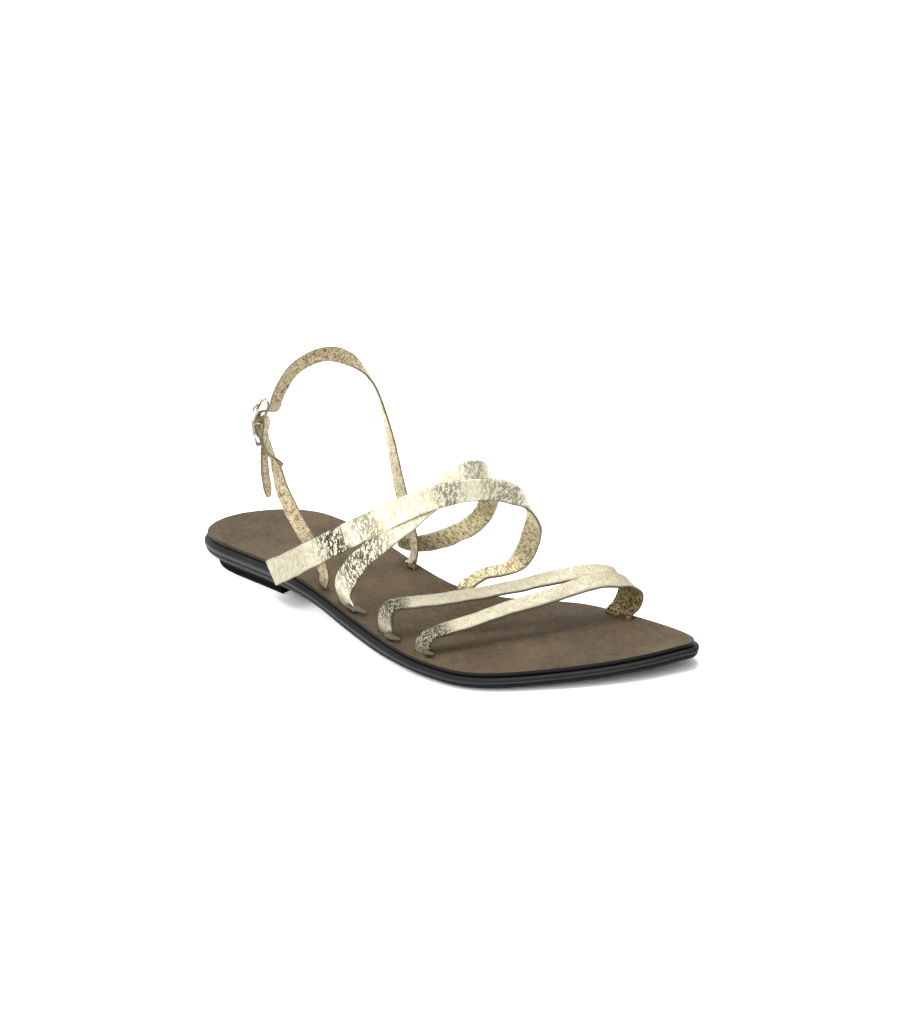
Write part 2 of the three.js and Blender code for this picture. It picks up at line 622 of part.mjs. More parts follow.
const eyeRadius = wireRadius + 1.8 * pinGap + prongWire / 2;
const eyePoints = Array.from({ length: eyeSteps }, (_, i) => {
  const angle = (i / eyeSteps) * Math.PI * 2;
  return atBuckle(Math.cos(angle) * eyeRadius, 0, Math.sin(angle) * eyeRadius);
});
const prongTipOut = wireRadius + 1.6 * pinGap + prongWire / 2;
const prongRise = foldRadius + ankleStrapThickness * 1.35 + prongWire / 2 + pinGap;
const prongPoints = [
  atBuckle(eyeRadius * 0.9, 0, eyeRadius * 0.5),
  atBuckle(eyeRadius * 1.25, 0, prongRise * 0.75),
  atBuckle(half * 0.5, 0, prongRise),
  atBuckle(half, 0, prongTipOut),
  atBuckle(half + wireRadius + prongWire * 0.36, 0, prongTipOut - prongWire * 0.45),
];
const buckleProng = joined([
  wireBody(eyePoints, prongWire, true, ringSteps),
  wireBody(prongPoints, prongWire, false, prongSteps),
]);

function sandalMesh(name, solid, color, roughness, metalness) {
  const material = new THREE.MeshStandardMaterial({ color, roughness, metalness });
  const mesh = new THREE.Mesh(geometryOf(solid), material);
  mesh.name = name;
  return mesh;
}

const group = new THREE.Group();
group.add(sandalMesh("outsole", outsole, outsoleColor, 0.42, 0));
group.add(sandalMesh("heel_lift", heelLift, liftColor, 0.6, 0));
group.add(sandalMesh("insole", insole, insoleColor, 0.7, 0));
group.add(sandalMesh("instep_straps", upper, goldColor, 0.38, 0.75));
group.add(sandalMesh("toe_straps", toeStraps, goldColor, 0.38, 0.75));
group.add(sandalMesh("buckle_frame", buckleFrame, metalColor, 0.25, 1));
group.add(sandalMesh("buckle_prong", buckleProng, metalColor, 0.25, 1));

// The origin lies on the floor under the middle of the heel seat.
group.position.x = -heelCentre * insoleLength;

export default group;
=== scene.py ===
import math

import bmesh
import bpy
import numpy as np
from mathutils import Matrix, Vector, noise


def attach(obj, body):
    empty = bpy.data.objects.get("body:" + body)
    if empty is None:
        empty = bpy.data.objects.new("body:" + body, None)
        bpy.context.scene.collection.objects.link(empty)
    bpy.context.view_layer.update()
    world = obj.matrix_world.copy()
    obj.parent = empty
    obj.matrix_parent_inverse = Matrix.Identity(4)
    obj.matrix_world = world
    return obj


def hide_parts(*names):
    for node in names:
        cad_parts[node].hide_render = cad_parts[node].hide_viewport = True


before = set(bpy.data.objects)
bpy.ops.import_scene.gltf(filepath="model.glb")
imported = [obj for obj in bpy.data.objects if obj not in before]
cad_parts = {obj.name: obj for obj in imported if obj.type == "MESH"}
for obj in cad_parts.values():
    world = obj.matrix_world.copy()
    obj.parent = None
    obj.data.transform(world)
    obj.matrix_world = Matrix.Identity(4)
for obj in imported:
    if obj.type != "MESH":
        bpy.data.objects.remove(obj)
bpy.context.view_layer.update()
print("frame loaded")

mm = 0.001
shoe = {
    "insoleLength": 250 * mm,
    "ballWidth": 77 * mm,
    "heelCentre": 0.13,
    "insoleThickness": 1.6 * mm,
    "heelInsoleHeight": 15.6 * mm,
    "ballInsoleHeight": 6.2 * mm,
    "toeInsoleHeight": 9.9 * mm,
    "heelLiftHeight": 6.6 * mm,
    "layerGap": 0.3 * mm,
    "ankleLoopRise": 88 * mm,
    "instepRise": 57 * mm,
    "toeStrapRise": 17.5 * mm,
    "rootStand": 1.2 * mm,
    "rootGap": 1.1 * mm,
}

heelShift = np.array([shoe["heelCentre"] * shoe["insoleLength"], 0, 0])


def smooth(value, start, end):
    t = np.clip((value - start) / (end - start), 0, 1)
    return t * t * (3 - 2 * t)


def toeSpring(share):
    lift = max(0.0, (share - 0.72) / 0.28)
    return (shoe["toeInsoleHeight"] - shoe["ballInsoleHeight"]) * lift * lift


def insoleTop(x):  # height of the insole's upper face, x from the back of the heel
    share = min(max(x / shoe["insoleLength"], 0), 1)
    drop = shoe["ballInsoleHeight"] - shoe["heelInsoleHeight"]
    return shoe["heelInsoleHeight"] + drop * smooth(share, 0.22, 0.68) + toeSpring(share)


def outsoleBottom(x):
    share = min(max(x / shoe["insoleLength"], 0), 1)
    return shoe["heelLiftHeight"] * (1 - smooth(share, 0.315, 0.58)) + toeSpring(share)


def outsoleTop(x):
    return insoleTop(x) - shoe["insoleThickness"] - shoe["layerGap"]


# Curves: the same centripetal Catmull-Rom that shapes the solids.
def curvePoint(points, t, closed=False, even=False):
    count = len(points)
    place = (count - (0 if closed else 1)) * t
    index = math.floor(place)
    weight = place - index
    if closed:
        index %= count
    elif index >= count - 1:
        index, weight = count - 2, 1.0
    if closed or index > 0:
        before = points[(index - 1) % count]
    else:
        before = 2 * points[0] - points[1]
    here, ahead = points[index % count], points[(index + 1) % count]
    if closed or index + 2 < count:
        beyond = points[(index + 2) % count]
    else:
        beyond = 2 * points[-1] - points[-2]
    if even:
        startSlope, endSlope = (ahead - before) / 2, (beyond - here) / 2
    else:
        gaps = [math.sqrt(np.linalg.norm(b - a)) for a, b in ((before, here), (here, ahead), (ahead, beyond))]
        middle = gaps[1] or 1.0
        first, last = gaps[0] or middle, gaps[2] or middle
        startSlope = (here - before) / first - (ahead - before) / (first + middle) + (ahead - here) / middle
        endSlope = (ahead - here) / middle - (beyond - here) / (middle + last) + (beyond - ahead) / last
        startSlope, endSlope = startSlope * middle, endSlope * middle
    cubic = 2 * here - 2 * ahead + startSlope + endSlope
    square = -3 * here + 3 * ahead - 2 * startSlope - endSlope
    return here + startSlope * weight + square * weight**2 + cubic * weight**3


def curveSlope(points, t, closed=False):
    low, high = max(t - 1e-4, 0), min(t + 1e-4, 1)
    if closed:
        low, high = (t - 1e-4) % 1, (t + 1e-4) % 1
    step = curvePoint(points, high, closed) - curvePoint(points, low, closed)
    return step / np.linalg.norm(step)


def unit(vector):
    return vector / np.linalg.norm(vector)


def meshObject(name, vertices, faces, uv=None, smoothShade=True):
    mesh = bpy.data.meshes.new(name)
    mesh.from_pydata([tuple(v) for v in vertices], [], faces)
    mesh.update()
    if uv is not None:
        layer = mesh.uv_layers.new(name="leatherUv")
        corners = np.array(uv, dtype=np.float32).reshape(-1)
        layer.data.foreach_set("uv", corners)
    mesh.polygons.foreach_set("use_smooth", [smoothShade] * len(mesh.polygons))
    thing = bpy.data.objects.new(name, mesh)
    bpy.context.scene.collection.objects.link(thing)
    return thing


def pointMask(thing, name, values):
    layer = thing.data.attributes.new(name, "FLOAT", "POINT")
    layer.data.foreach_set("value", np.array(values, dtype=np.float32))


# Material helpers.
def newMaterial(name):
    material = bpy.data.materials.new(name)
    material.use_nodes = True
    tree = material.node_tree
    tree.nodes.clear()
    out = tree.nodes.new("ShaderNodeOutputMaterial")
    shader = tree.nodes.new("ShaderNodeBsdfPrincipled")
    tree.links.new(shader.outputs[0], out.inputs[0])
    return material, tree, tree.links, shader


def feed(tree, node, values):  # a socket gets a number, a colour or a link
    for socket, value in values:
        if isinstance(value, tuple):
            size = len(node.inputs[socket].default_value)
            node.inputs[socket].default_value = (*value, 1)[:size]
        elif isinstance(value, (int, float)):
            node.inputs[socket].default_value = value
        elif value is not None:
            tree.links.new(value, node.inputs[socket])


def addNode(tree, kind, **settings):
    node = tree.nodes.new(kind)
    for key, value in settings.items():
        if key in node.bl_rna.properties:
            setattr(node, key, value)
        else:
            feed(tree, node, ((key, value),))
    return node


def mathNode(tree, operation, a, b=None, clamp=False):
    node = addNode(tree, "ShaderNodeMath", operation=operation, use_clamp=clamp)
    feed(tree, node, ((0, a), (1, b)))
    return node.outputs[0]


def vectorNode(tree, operation, a, b):
    node = addNode(tree, "ShaderNodeVectorMath", operation=operation)
    feed(tree, node, ((0, a), ("Scale" if operation == "SCALE" else 1, b)))
    return node.outputs[0]


def mixColor(tree, factor, a, b):
    node = addNode(tree, "ShaderNodeMix", data_type="RGBA", blend_type="MIX")
    feed(tree, node, ((0, factor), (6, a), (7, b)))
    return node.outputs[2]


def ranged(tree, value, low, high, toLow=0.0, toHigh=1.0):
    node = addNode(tree, "ShaderNodeMapRange", interpolation_type="SMOOTHSTEP")
    feed(tree, node, enumerate((value, low, high, toLow, toHigh)))
    return node.outputs[0]


def roughen(tree, shader, grain, base, share):
    rough = mathNode(tree, "ADD", base, mathNode(tree, "MULTIPLY", grain, share))
    tree.links.new(rough, shader.inputs["Roughness"])


def bumpNormal(tree, shader, height, strength, depth):
    bump = addNode(tree, "ShaderNodeBump", Strength=strength, Distance=depth, Height=height)
    tree.links.new(bump.outputs[0], shader.inputs["Normal"])


def effectGroup(name, inputs, outputs):
    tree = bpy.data.node_groups.new(name, "ShaderNodeTree")
    for label, kind, value in inputs:
        socket = tree.interface.new_socket(label, in_out="INPUT", socket_type=kind)
        if value is not None:
            socket.default_value = value
    for label in outputs:
        tree.interface.new_socket(label, in_out="OUTPUT", socket_type="NodeSocketFloat")
    return tree, tree.links, tree.nodes.new("NodeGroupInput"), tree.nodes.new("NodeGroupOutput")


def placeGroup(tree, group, values):
    node = addNode(tree, "ShaderNodeGroup", node_tree=group)
    feed(tree, node, values.items())
    return node


crackleLook = {
    "wobbleScale": 0.9,
    "wobblePush": 1.6,
    "coarseShare": 0.43,
    "fineShare": 2.6,
    "broadShare": 0.16,
    "fineCrack": (0.015, 0.11),
    "wideCrack": (0.01, 0.07),
    "broken": (0.4, 0.6),
    "dome": -0.5,
    "tilt": 0.35,
    "grain": 0.5,
    "crackDepth": 0.5,
}


# Foil crackle: a net of fine cracks, small tilted flakes and broad creasing, in metres.
def crackleGroup(look):
    tree, links, source, target = effectGroup(
        "foilCrackle",
        [
            ("Vector", "NodeSocketVector", None),
            ("Flake size", "NodeSocketFloat", 0.0012),
            ("Stretch", "NodeSocketFloat", 1.6),
            ("Twist", "NodeSocketFloat", 0.35),
        ],
        ["Crack", "Flake", "Height", "Mottle"],
    )
    share = mathNode(tree, "DIVIDE", 1.0, source.outputs["Flake size"])
    scaled = vectorNode(tree, "SCALE", source.outputs["Vector"], share)
    wobble = addNode(tree, "ShaderNodeTexNoise", Vector=scaled, Scale=look["wobbleScale"], Detail=3.0)
    centred = vectorNode(tree, "SUBTRACT", wobble.outputs["Color"], (0.5, 0.5, 0.5))
    bent = vectorNode(tree, "ADD", scaled, vectorNode(tree, "SCALE", centred, look["wobblePush"]))
    twist, shorter = source.outputs["Twist"], mathNode(tree, "DIVIDE", 1.0, source.outputs["Stretch"])
    lean = addNode(tree, "ShaderNodeVectorRotate", rotation_type="Z_AXIS", Vector=bent, Angle=twist)
    pull = addNode(tree, "ShaderNodeCombineXYZ", X=1.0, Y=shorter, Z=1.0)
    longer = vectorNode(tree, "MULTIPLY", lean.outputs[0], pull.outputs[0])
    nets = {"Vector": longer, "feature": "DISTANCE_TO_EDGE"}
    net = addNode(tree, "ShaderNodeTexVoronoi", Scale=1.0, **nets)
    coarseNet = addNode(tree, "ShaderNodeTexVoronoi", Scale=look["coarseShare"], **nets)
    flakes = addNode(tree, "ShaderNodeTexVoronoi", Vector=longer, feature="F1", Scale=1.0)
    rich = {"Detail": 4.0, "Roughness": 0.7}
    fine = addNode(tree, "ShaderNodeTexNoise", Vector=longer, Scale=look["fineShare"], **rich)
    calm = {"Detail": 3.0, "Roughness": 0.6}
    broad = addNode(tree, "ShaderNodeTexNoise", Vector=scaled, Scale=look["broadShare"], **calm)
    fineCrack = ranged(tree, net.outputs["Distance"], *look["fineCrack"], 1.0, 0.0)
    wideCrack = ranged(tree, coarseNet.outputs["Distance"], *look["wideCrack"], 1.0, 0.0)
    crack = mathNode(tree, "MAXIMUM", fineCrack, wideCrack)
    crack = mathNode(tree, "MULTIPLY", crack, ranged(tree, fine.outputs["Fac"], *look["broken"]))
    flakeTone = addNode(tree, "ShaderNodeSeparateColor", Color=flakes.outputs["Color"])
    dome = mathNode(tree, "MULTIPLY", flakes.outputs["Distance"], look["dome"])
    tilt = mathNode(tree, "MULTIPLY", flakeTone.outputs[0], look["tilt"])
    grain = mathNode(tree, "MULTIPLY", fine.outputs["Fac"], look["grain"])
    height = mathNode(tree, "ADD", mathNode(tree, "ADD", dome, tilt), grain)
    height = mathNode(tree, "SUBTRACT", height, mathNode(tree, "MULTIPLY", crack, look["crackDepth"]))
    feed(tree, target, (("Crack", crack), ("Flake", flakeTone.outputs[1])))
    feed(tree, target, (("Height", height), ("Mottle", broad.outputs["Fac"])))
    return tree


# Fine noise for dirt and tone drift on the sole and the insole, and for patches of painted dark reflection on
# the buckle metal.
def driftGroup():
    sizes = {"Patch": (0.02, 4.0), "Grain": (0.0006, 3.0)}
    inputs = [("Vector", "NodeSocketVector", None)]
    inputs += [(label, "NodeSocketFloat", size) for label, (size, detail) in sizes.items()]
    tree, links, source, target = effectGroup("toneDrift", inputs, list(sizes))
    for label, (size, detail) in sizes.items():
        share = mathNode(tree, "DIVIDE", 1.0, source.outputs[label])
        texture = addNode(tree, "ShaderNodeTexNoise", Scale=share, Detail=detail, Roughness=0.62)
        feed(tree, texture, (("Vector", source.outputs["Vector"]),))
        links.new(texture.outputs["Fac"], target.inputs[label])
    return tree


crackle = crackleGroup(crackleLook)
drift = driftGroup()


def attribute(tree, name):
    return addNode(tree, "ShaderNodeAttribute", attribute_name=name).outputs["Fac"]


def driftTones(tree, patch, grain):  # sizes in metres
    where = addNode(tree, "ShaderNodeTexCoord").outputs["Object"]
    tones = placeGroup(tree, drift, {"Vector": where, "Patch": patch, "Grain": grain})
    return tones.outputs["Patch"], tones.outputs["Grain"]


def goldLeather(name, spec):
    material, tree, links, shader = newMaterial(name)
    uv = addNode(tree, "ShaderNodeUVMap", uv_map="leatherUv")
    sizes = {"Flake size": spec["flakeSize"], "Stretch": spec["flakeStretch"], "Twist": spec["flakeTwist"]}
    foil = placeGroup(tree, crackle, {"Vector": uv.outputs[0], **sizes}).outputs
    crush, tarnish = attribute(tree, "crush"), attribute(tree, "tarnish")
    edge, lining = attribute(tree, "cutEdge"), attribute(tree, "lining")
    wearAndShade = mathNode(tree, "MULTIPLY", ranged(tree, foil["Mottle"], *spec["patchy"]), spec["wearShare"])
    wearAndShade = mathNode(tree, "MAXIMUM", wearAndShade, crush)
    # The inner faces get a warmer copy of the same foil with more dark flecks: painted shade and reflection,
    # added to the wear.
    wearAndShade = mathNode(tree, "ADD", wearAndShade, mathNode(tree, "MULTIPLY", lining, spec["innerShadeFlecks"]), True)
    # Crushed spots shift flake tones into the dark range. The dark flakes are painted dark reflections of
    # tilted facets and share the crack colour.
    flake = mathNode(tree, "ADD", foil["Flake"], mathNode(tree, "MULTIPLY", crush, spec["crushShift"]))
    dark = mathNode(tree, "MAXIMUM", foil["Crack"], ranged(tree, flake, *spec["darkReflectionFlakes"]))
    dark = mathNode(tree, "MULTIPLY", dark, wearAndShade)
    pale = mixColor(tree, foil["Flake"], spec["foilPale"], spec["foilWarm"])
    face = mixColor(tree, lining, pale, spec["foilInnerShade"])
    face = mixColor(tree, dark, face, spec["crackAndDarkReflection"])
    # Listed darker spots pull the foil toward a dull dark colour.
    face = mixColor(tree, mathNode(tree, "MULTIPLY", tarnish, spec["dull"]), face, spec["tarnish"])
    # Cut edges get a dark non-metal colour: the raw leather edge, darkened further as painted shade.
    links.new(mixColor(tree, edge, face, spec["cutEdge"]), shader.inputs["Base Color"])
    shader.inputs["Specular IOR Level"].default_value = spec["specular"]
    metal = mathNode(tree, "MULTIPLY", mathNode(tree, "SUBTRACT", 1.0, edge), spec["metal"])
    metal = mathNode(tree, "SUBTRACT", metal, mathNode(tree, "MULTIPLY", dark, spec["darkDull"]), True)
    links.new(metal, shader.inputs["Metallic"])
    flakeRough = mathNode(tree, "MULTIPLY", foil["Flake"], spec["flakeRough"])
    rough = mathNode(tree, "ADD", spec["roughness"], flakeRough)
    rough = mathNode(tree, "ADD", rough, mathNode(tree, "MULTIPLY", edge, spec["edgeRough"]), True)
    links.new(rough, shader.inputs["Roughness"])
    calm = spec["calmBump"]
    lifted = mathNode(tree, "ADD", calm, mathNode(tree, "MULTIPLY", wearAndShade, 1 - calm), True)
    height = mathNode(tree, "MULTIPLY", foil["Height"], lifted)
    bumpNormal(tree, shader, height, spec["bump"], spec["bumpDepth"])
    return material


# Straps.
strapTables = {
    "rearInstep": [
        (0.2972, -0.512, 0.052, -0.62, 0, 0.78, 1.06),
        (0.3528, -0.494, 0.2, -0.58, 0, 0.82, 1.03),
        (0.4094, -0.464, 0.366, -0.51, -0.07, 0.86, 1),
        (0.5105, -0.403, 0.655, -0.5, -0.05, 0.86, 0.98),
        (0.5873, -0.273, 0.865, -0.4, 0.08, 0.91, 0.92),
        (0.6456, -0.09, 0.935, -0.2, 0.3, 0.93, 0.82),
        (0.6744, 0.058, 0.888, -0.22, 0.5, 0.85, 0.82),
        (0.684, 0.16, 0.775, -0.75, 0.5, 0.42, 0.86),
        (0.6783, 0.224, 0.61, -0.93, 0.3, 0.1, 0.95),
        (0.6597, 0.252, 0.45, -0.97, 0.1, -0.2, 0.95),
        (0.6331, 0.256, 0.275, -0.93, 0.2, 0.2, 0.95),
        (0.6026, 0.225, 0.168, -0.78, 0.55, 0.15, 0.8),
        (0.5744, 0.165, 0.12, -0.85, 0.4, 0.1, 0.7),
        (0.552, 0.092, 0, -0.99, -0.1, 0, 0.72),
    ],
    "frontInstep": [
        (0.456, -0.455, 0, -0.97, 0.24, 0, 1.2),
        (0.4535, -0.47, 0.13, -0.96, 0.16, 0.2, 1.05),
        (0.4731, -0.462, 0.28, -0.94, -0.05, 0.3, 0.9),
        (0.5057, -0.434, 0.45, -0.88, 0.02, 0.45, 0.82),
        (0.5423, -0.385, 0.6, -0.85, 0.06, 0.5, 0.82),
        (0.5749, -0.29, 0.755, -0.77, 0.1, 0.6, 0.82),
        (0.6015, -0.17, 0.905, -0.72, 0.13, 0.65, 0.82),
        (0.6168, -0.045, 1.015, -0.62, 0.3, 0.7, 0.82),
        (0.6225, 0.07, 0.99, -0.55, 0.6, 0.55, 0.82),
        (0.6165, 0.152, 0.875, -0.85, 0.4, 0.35, 0.82),
        (0.5875, 0.205, 0.67, -0.95, -0.05, -0.1, 0.82),
        (0.5498, 0.228, 0.465, -0.88, 0.08, 0.43, 0.82),
        (0.5072, 0.212, 0.325, -0.55, 0.05, 0.8, 0.74),
        (0.4567, 0.17, 0.202, -0.1, -0.25, 0.95, 0.78),
        (0.4206, 0.145, 0.15, 0.05, -0.25, 0.95, 0.72),
        (0.3885, 0.135, 0.13, 0.1, -0.25, 0.95, 0.62),
    ],
    "ankle": [
        (0.428, 0.104, 0, -0.97, 0.23, 0, 0.85),
        (0.4305, 0.124, 0.09, -0.97, 0.25, 0, 0.9),
        (0.4172, 0.143, 0.195, -0.99, 0.02, 0, 1),
        (0.3992, 0.162, 0.31, -0.98, -0.08, 0, 1),
        (0.3849, 0.18, 0.45, -0.98, 0.05, 0, 1),
        (0.3734, 0.193, 0.58, -0.95, 0.27, 0, 1),
        (0.3613, 0.192, 0.725, -0.85, 0.5, 0.05, 1),
        (0.3528, 0.176, 0.815, -0.85, 0.5, 0.12, 1),
        (0.3453, 0.136, 0.893, -0.75, 0.6, 0.27, 1),
        (0.3387, 0.062, 0.957, -0.25, 0.35, 0.88, 1),
        (0.3299, -0.05, 1, 0, 0, 1, 1),
        (0.318, -0.158, 0.99, 0, -0.3, 0.95, 1),
        (0.3076, -0.25, 0.946, 0, -0.65, 0.75, 1),
        (0.3, -0.313, 0.88, 0.02, -0.82, 0.56, 1),
        (0.2952, -0.337, 0.833, 0.02, -0.86, 0.45, 1),
        (0.2886, -0.352, 0.782, 0.15, -0.88, 0.38, 1),
    ],
    "ankleTail": [
        (0.2825, -0.439, 0.5, 0.35, -0.93, 0, 0.95),
        (0.289, -0.453, 0.425, 0.28, -0.95, 0.05, 0.85),
        (0.2933, -0.463, 0.39, 0.25, -0.95, 0.1, 0.35),
    ],
    "ankleStub": [
        (0.378, -0.385, 0, 0.97, -0.22, 0, 0.85),
        (0.3894, -0.402, 0.075, 0.95, -0.1, 0.2, 0.95),
        (0.385, -0.424, 0.17, 0.88, 0.2, 0.42, 1.06),
        (0.3655, -0.438, 0.26, 0.8, 0.35, 0.5, 1.1),
        (0.3422, -0.441, 0.345, 0.78, 0.35, 0.52, 1.1),
        (0.3205, -0.435, 0.44, 0.78, 0.25, 0.55, 1.05),
        (0.3055, -0.42, 0.53, 0.82, 0, 0.5, 1),
    ],
    "rearToe": [
        (0.568, -0.532, 0, -0.97, 0.2, 0, 1.25),
        (0.5674, -0.53, 0.35, -0.96, 0.14, 0.15, 1.15),
        (0.5758, -0.508, 0.64, -0.85, 0.35, 0.2, 1.05),
        (0.5908, -0.445, 0.71, -0.72, 0.6, 0.3, 0.96),
        (0.6148, -0.345, 0.71, -0.7, 0.63, 0.3, 0.95),
        (0.6509, -0.22, 0.77, -0.7, 0.63, 0.3, 0.95),
        (0.691, -0.08, 0.85, -0.7, 0.63, 0.3, 0.95),
        (0.7452, 0.13, 0.985, -0.68, 0.6, 0.4, 1),
        (0.7812, 0.275, 1, -0.7, 0.5, 0.45, 1),
        (0.804, 0.365, 0.84, -0.85, 0.35, 0.35, 1),
        (0.8116, 0.4, 0.5, -0.97, 0.15, 0.15, 1),
        (0.8102, 0.366, 0.2, -0.99, 0.05, 0, 1),
        (0.808, 0.312, 0, -1, 0.04, 0, 1),
    ],
    "frontToe": [
        (0.66, -0.57, 0, -1, 0.03, 0, 1.08),
        (0.6613, -0.562, 0.25, -0.98, 0.1, 0.1, 1.03),
        (0.6725, -0.5, 0.42, -0.78, 0.5, 0.25, 0.95),
        (0.6986, -0.352, 0.52, -0.7, 0.62, 0.32, 0.95),
        (0.7248, -0.215, 0.65, -0.68, 0.6, 0.38, 0.95),
        (0.7649, 0.008, 0.78, -0.65, 0.58, 0.45, 0.95),
        (0.8031, 0.225, 0.9, -0.7, 0.5, 0.48, 1),
        (0.8269, 0.345, 0.77, -0.85, 0.3, 0.35, 1),
        (0.8356, 0.388, 0.48, -0.97, 0.12, 0.15, 1),
        (0.8362, 0.358, 0.2, -0.99, 0.05, 0, 1),
        (0.834, 0.304, 0, -1, 0.05, 0, 1),
    ],
}

foldTables = {  # crumpled ends beside the slots, "up" in mm
    "frontInstep": [
        (0.4645, -0.4745, 2.2, -0.2, 0.9, 0.35, 0.9),
        (0.4838, -0.475, 1.8, -0.2, 0.95, 0.25, 0.8),
        (0.503, -0.4643, 1.2, -0.1, 1, 0.1, 0.3),
    ],
    "rearToe": [
        (0.58, -0.5655, 2, -0.2, 0.9, 0.35, 0.8),
        (0.5928, -0.5698, 1.6, -0.2, 0.95, 0.25, 0.7),
        (0.608, -0.5605, 1.2, -0.1, 1, 0.1, 0.3),
    ],
    "frontToe": [
        (0.6702, -0.587, 1.7, -0.2, 0.9, 0.35, 0.6),
        (0.6776, -0.591, 1.5, -0.2, 0.95, 0.25, 0.6),
        (0.6887, -0.585, 1.2, -0.1, 1, 0.1, 0.3),
    ],
    "ankle": [
        (0.4372, 0.0926, 3.4, 0.5, 0.75, 0.4, 0.9),
        (0.4283, 0.0888, 3.2, 0.6, 0.6, 0.5, 1),
        (0.4211, 0.0813, 2, 0.7, 0.45, 0.5, 0.6),
    ],
}


def strapRows(table, rise):
    rows = []
    for along, side, up, ax, ay, az, width in table:
        x = along * shoe["insoleLength"]
        z = insoleTop(x) + max(up * rise, shoe["rootStand"])
        rows.append((np.array([x, side * shoe["ballWidth"], z]), unit(np.array([ax, ay, az], float)), width))
    return rows


def rootRow(row):
    place = row[0].copy()
    place[2] = outsoleTop(place[0]) + shoe["rootGap"]
    return place, row[1], row[2]


buckle = {
    "length": 17 * mm,
    "width": 11.5 * mm,
    "wire": 1.7 * mm,
    "bow": 1.5 * mm,
    "corner": 2.6 * mm,
    "prongWire": 1.1 * mm,
    "pinGap": 0.3 * mm,
    "strapThickness": 1.1 * mm,
    "along": 0.2713,
    "side": -0.39,
    "height": 0.72,
}
buckleX = buckle["along"] * shoe["insoleLength"]
buckleZ = insoleTop(buckleX) + buckle["height"] * shoe["ankleLoopRise"]
buckleCentre = np.array([buckleX, buckle["side"] * shoe["ballWidth"], buckleZ])
buckleUp = unit(np.array([0.04, 0.22, 0.97]))
buckleAcross = np.array([0.42, -0.9, 0.1])
buckleAcross = unit(buckleAcross - buckleUp * buckleAcross.dot(buckleUp))
buckleOut = np.cross(buckleAcross, buckleUp)


def atBuckle(up, across, out):
    return buckleCentre + buckleUp * up + buckleAcross * across + buckleOut * out


def buckleRow(up, out):
    return atBuckle(up, 0, out), buckleAcross.copy(), 1.0


half = buckle["length"] / 2
wireRadius = buckle["wire"] / 2
foldRadius = wireRadius + 1.9 * buckle["pinGap"] + buckle["strapThickness"] / 2
behind = wireRadius + 2 * buckle["pinGap"] + buckle["strapThickness"] / 2
leather = buckle["strapThickness"]
throughBuckle = [
    buckleRow(half * 0.45, foldRadius * 0.75),
    buckleRow(0, foldRadius + leather * 0.85),
    buckleRow(-half * 0.5, foldRadius * 0.6),
    buckleRow(-half + wireRadius, -behind),
    buckleRow(-half - 3 * mm, -behind * 0.95),
]
stubFold = [
    buckleRow(-half - 2.5 * mm, -behind - leather * 1.1),
    buckleRow(-half * 0.6, -foldRadius * 0.35),
    buckleRow(-foldRadius * 0.75, foldRadius * 0.75),
    buckleRow(0.2 * mm, foldRadius),
    buckleRow(foldRadius * 0.74, foldRadius * 0.74),
    buckleRow(foldRadius, 0),
    buckleRow(foldRadius * 0.74, -foldRadius * 0.74),
    buckleRow(-0.2 * mm, -foldRadius),
    buckleRow(-half * 0.6, -foldRadius * 0.35 - leather * 0.9),
    buckleRow(-half - 2.5 * mm, -behind - leather * 2),
]
stubEnd = strapRows([(0.3085, -0.402, 0.526, 0.82, 0, 0.5, 1)], shoe["ankleLoopRise"])


def pathOf(name):
    rise = shoe[strips[name]["rise"]]
    rows = strapRows(strapTables[name], rise)
    if name == "rearInstep":
        return rows + [rootRow(rows[-1])]
    rows = [rootRow(rows[0])] + rows
    if name == "ankle":
        return rows + throughBuckle + strapRows(strapTables["ankleTail"], rise)
    if name == "ankleStub":
        return rows + stubFold + stubEnd
    return rows if name == "frontInstep" else rows + [rootRow(rows[-1])]


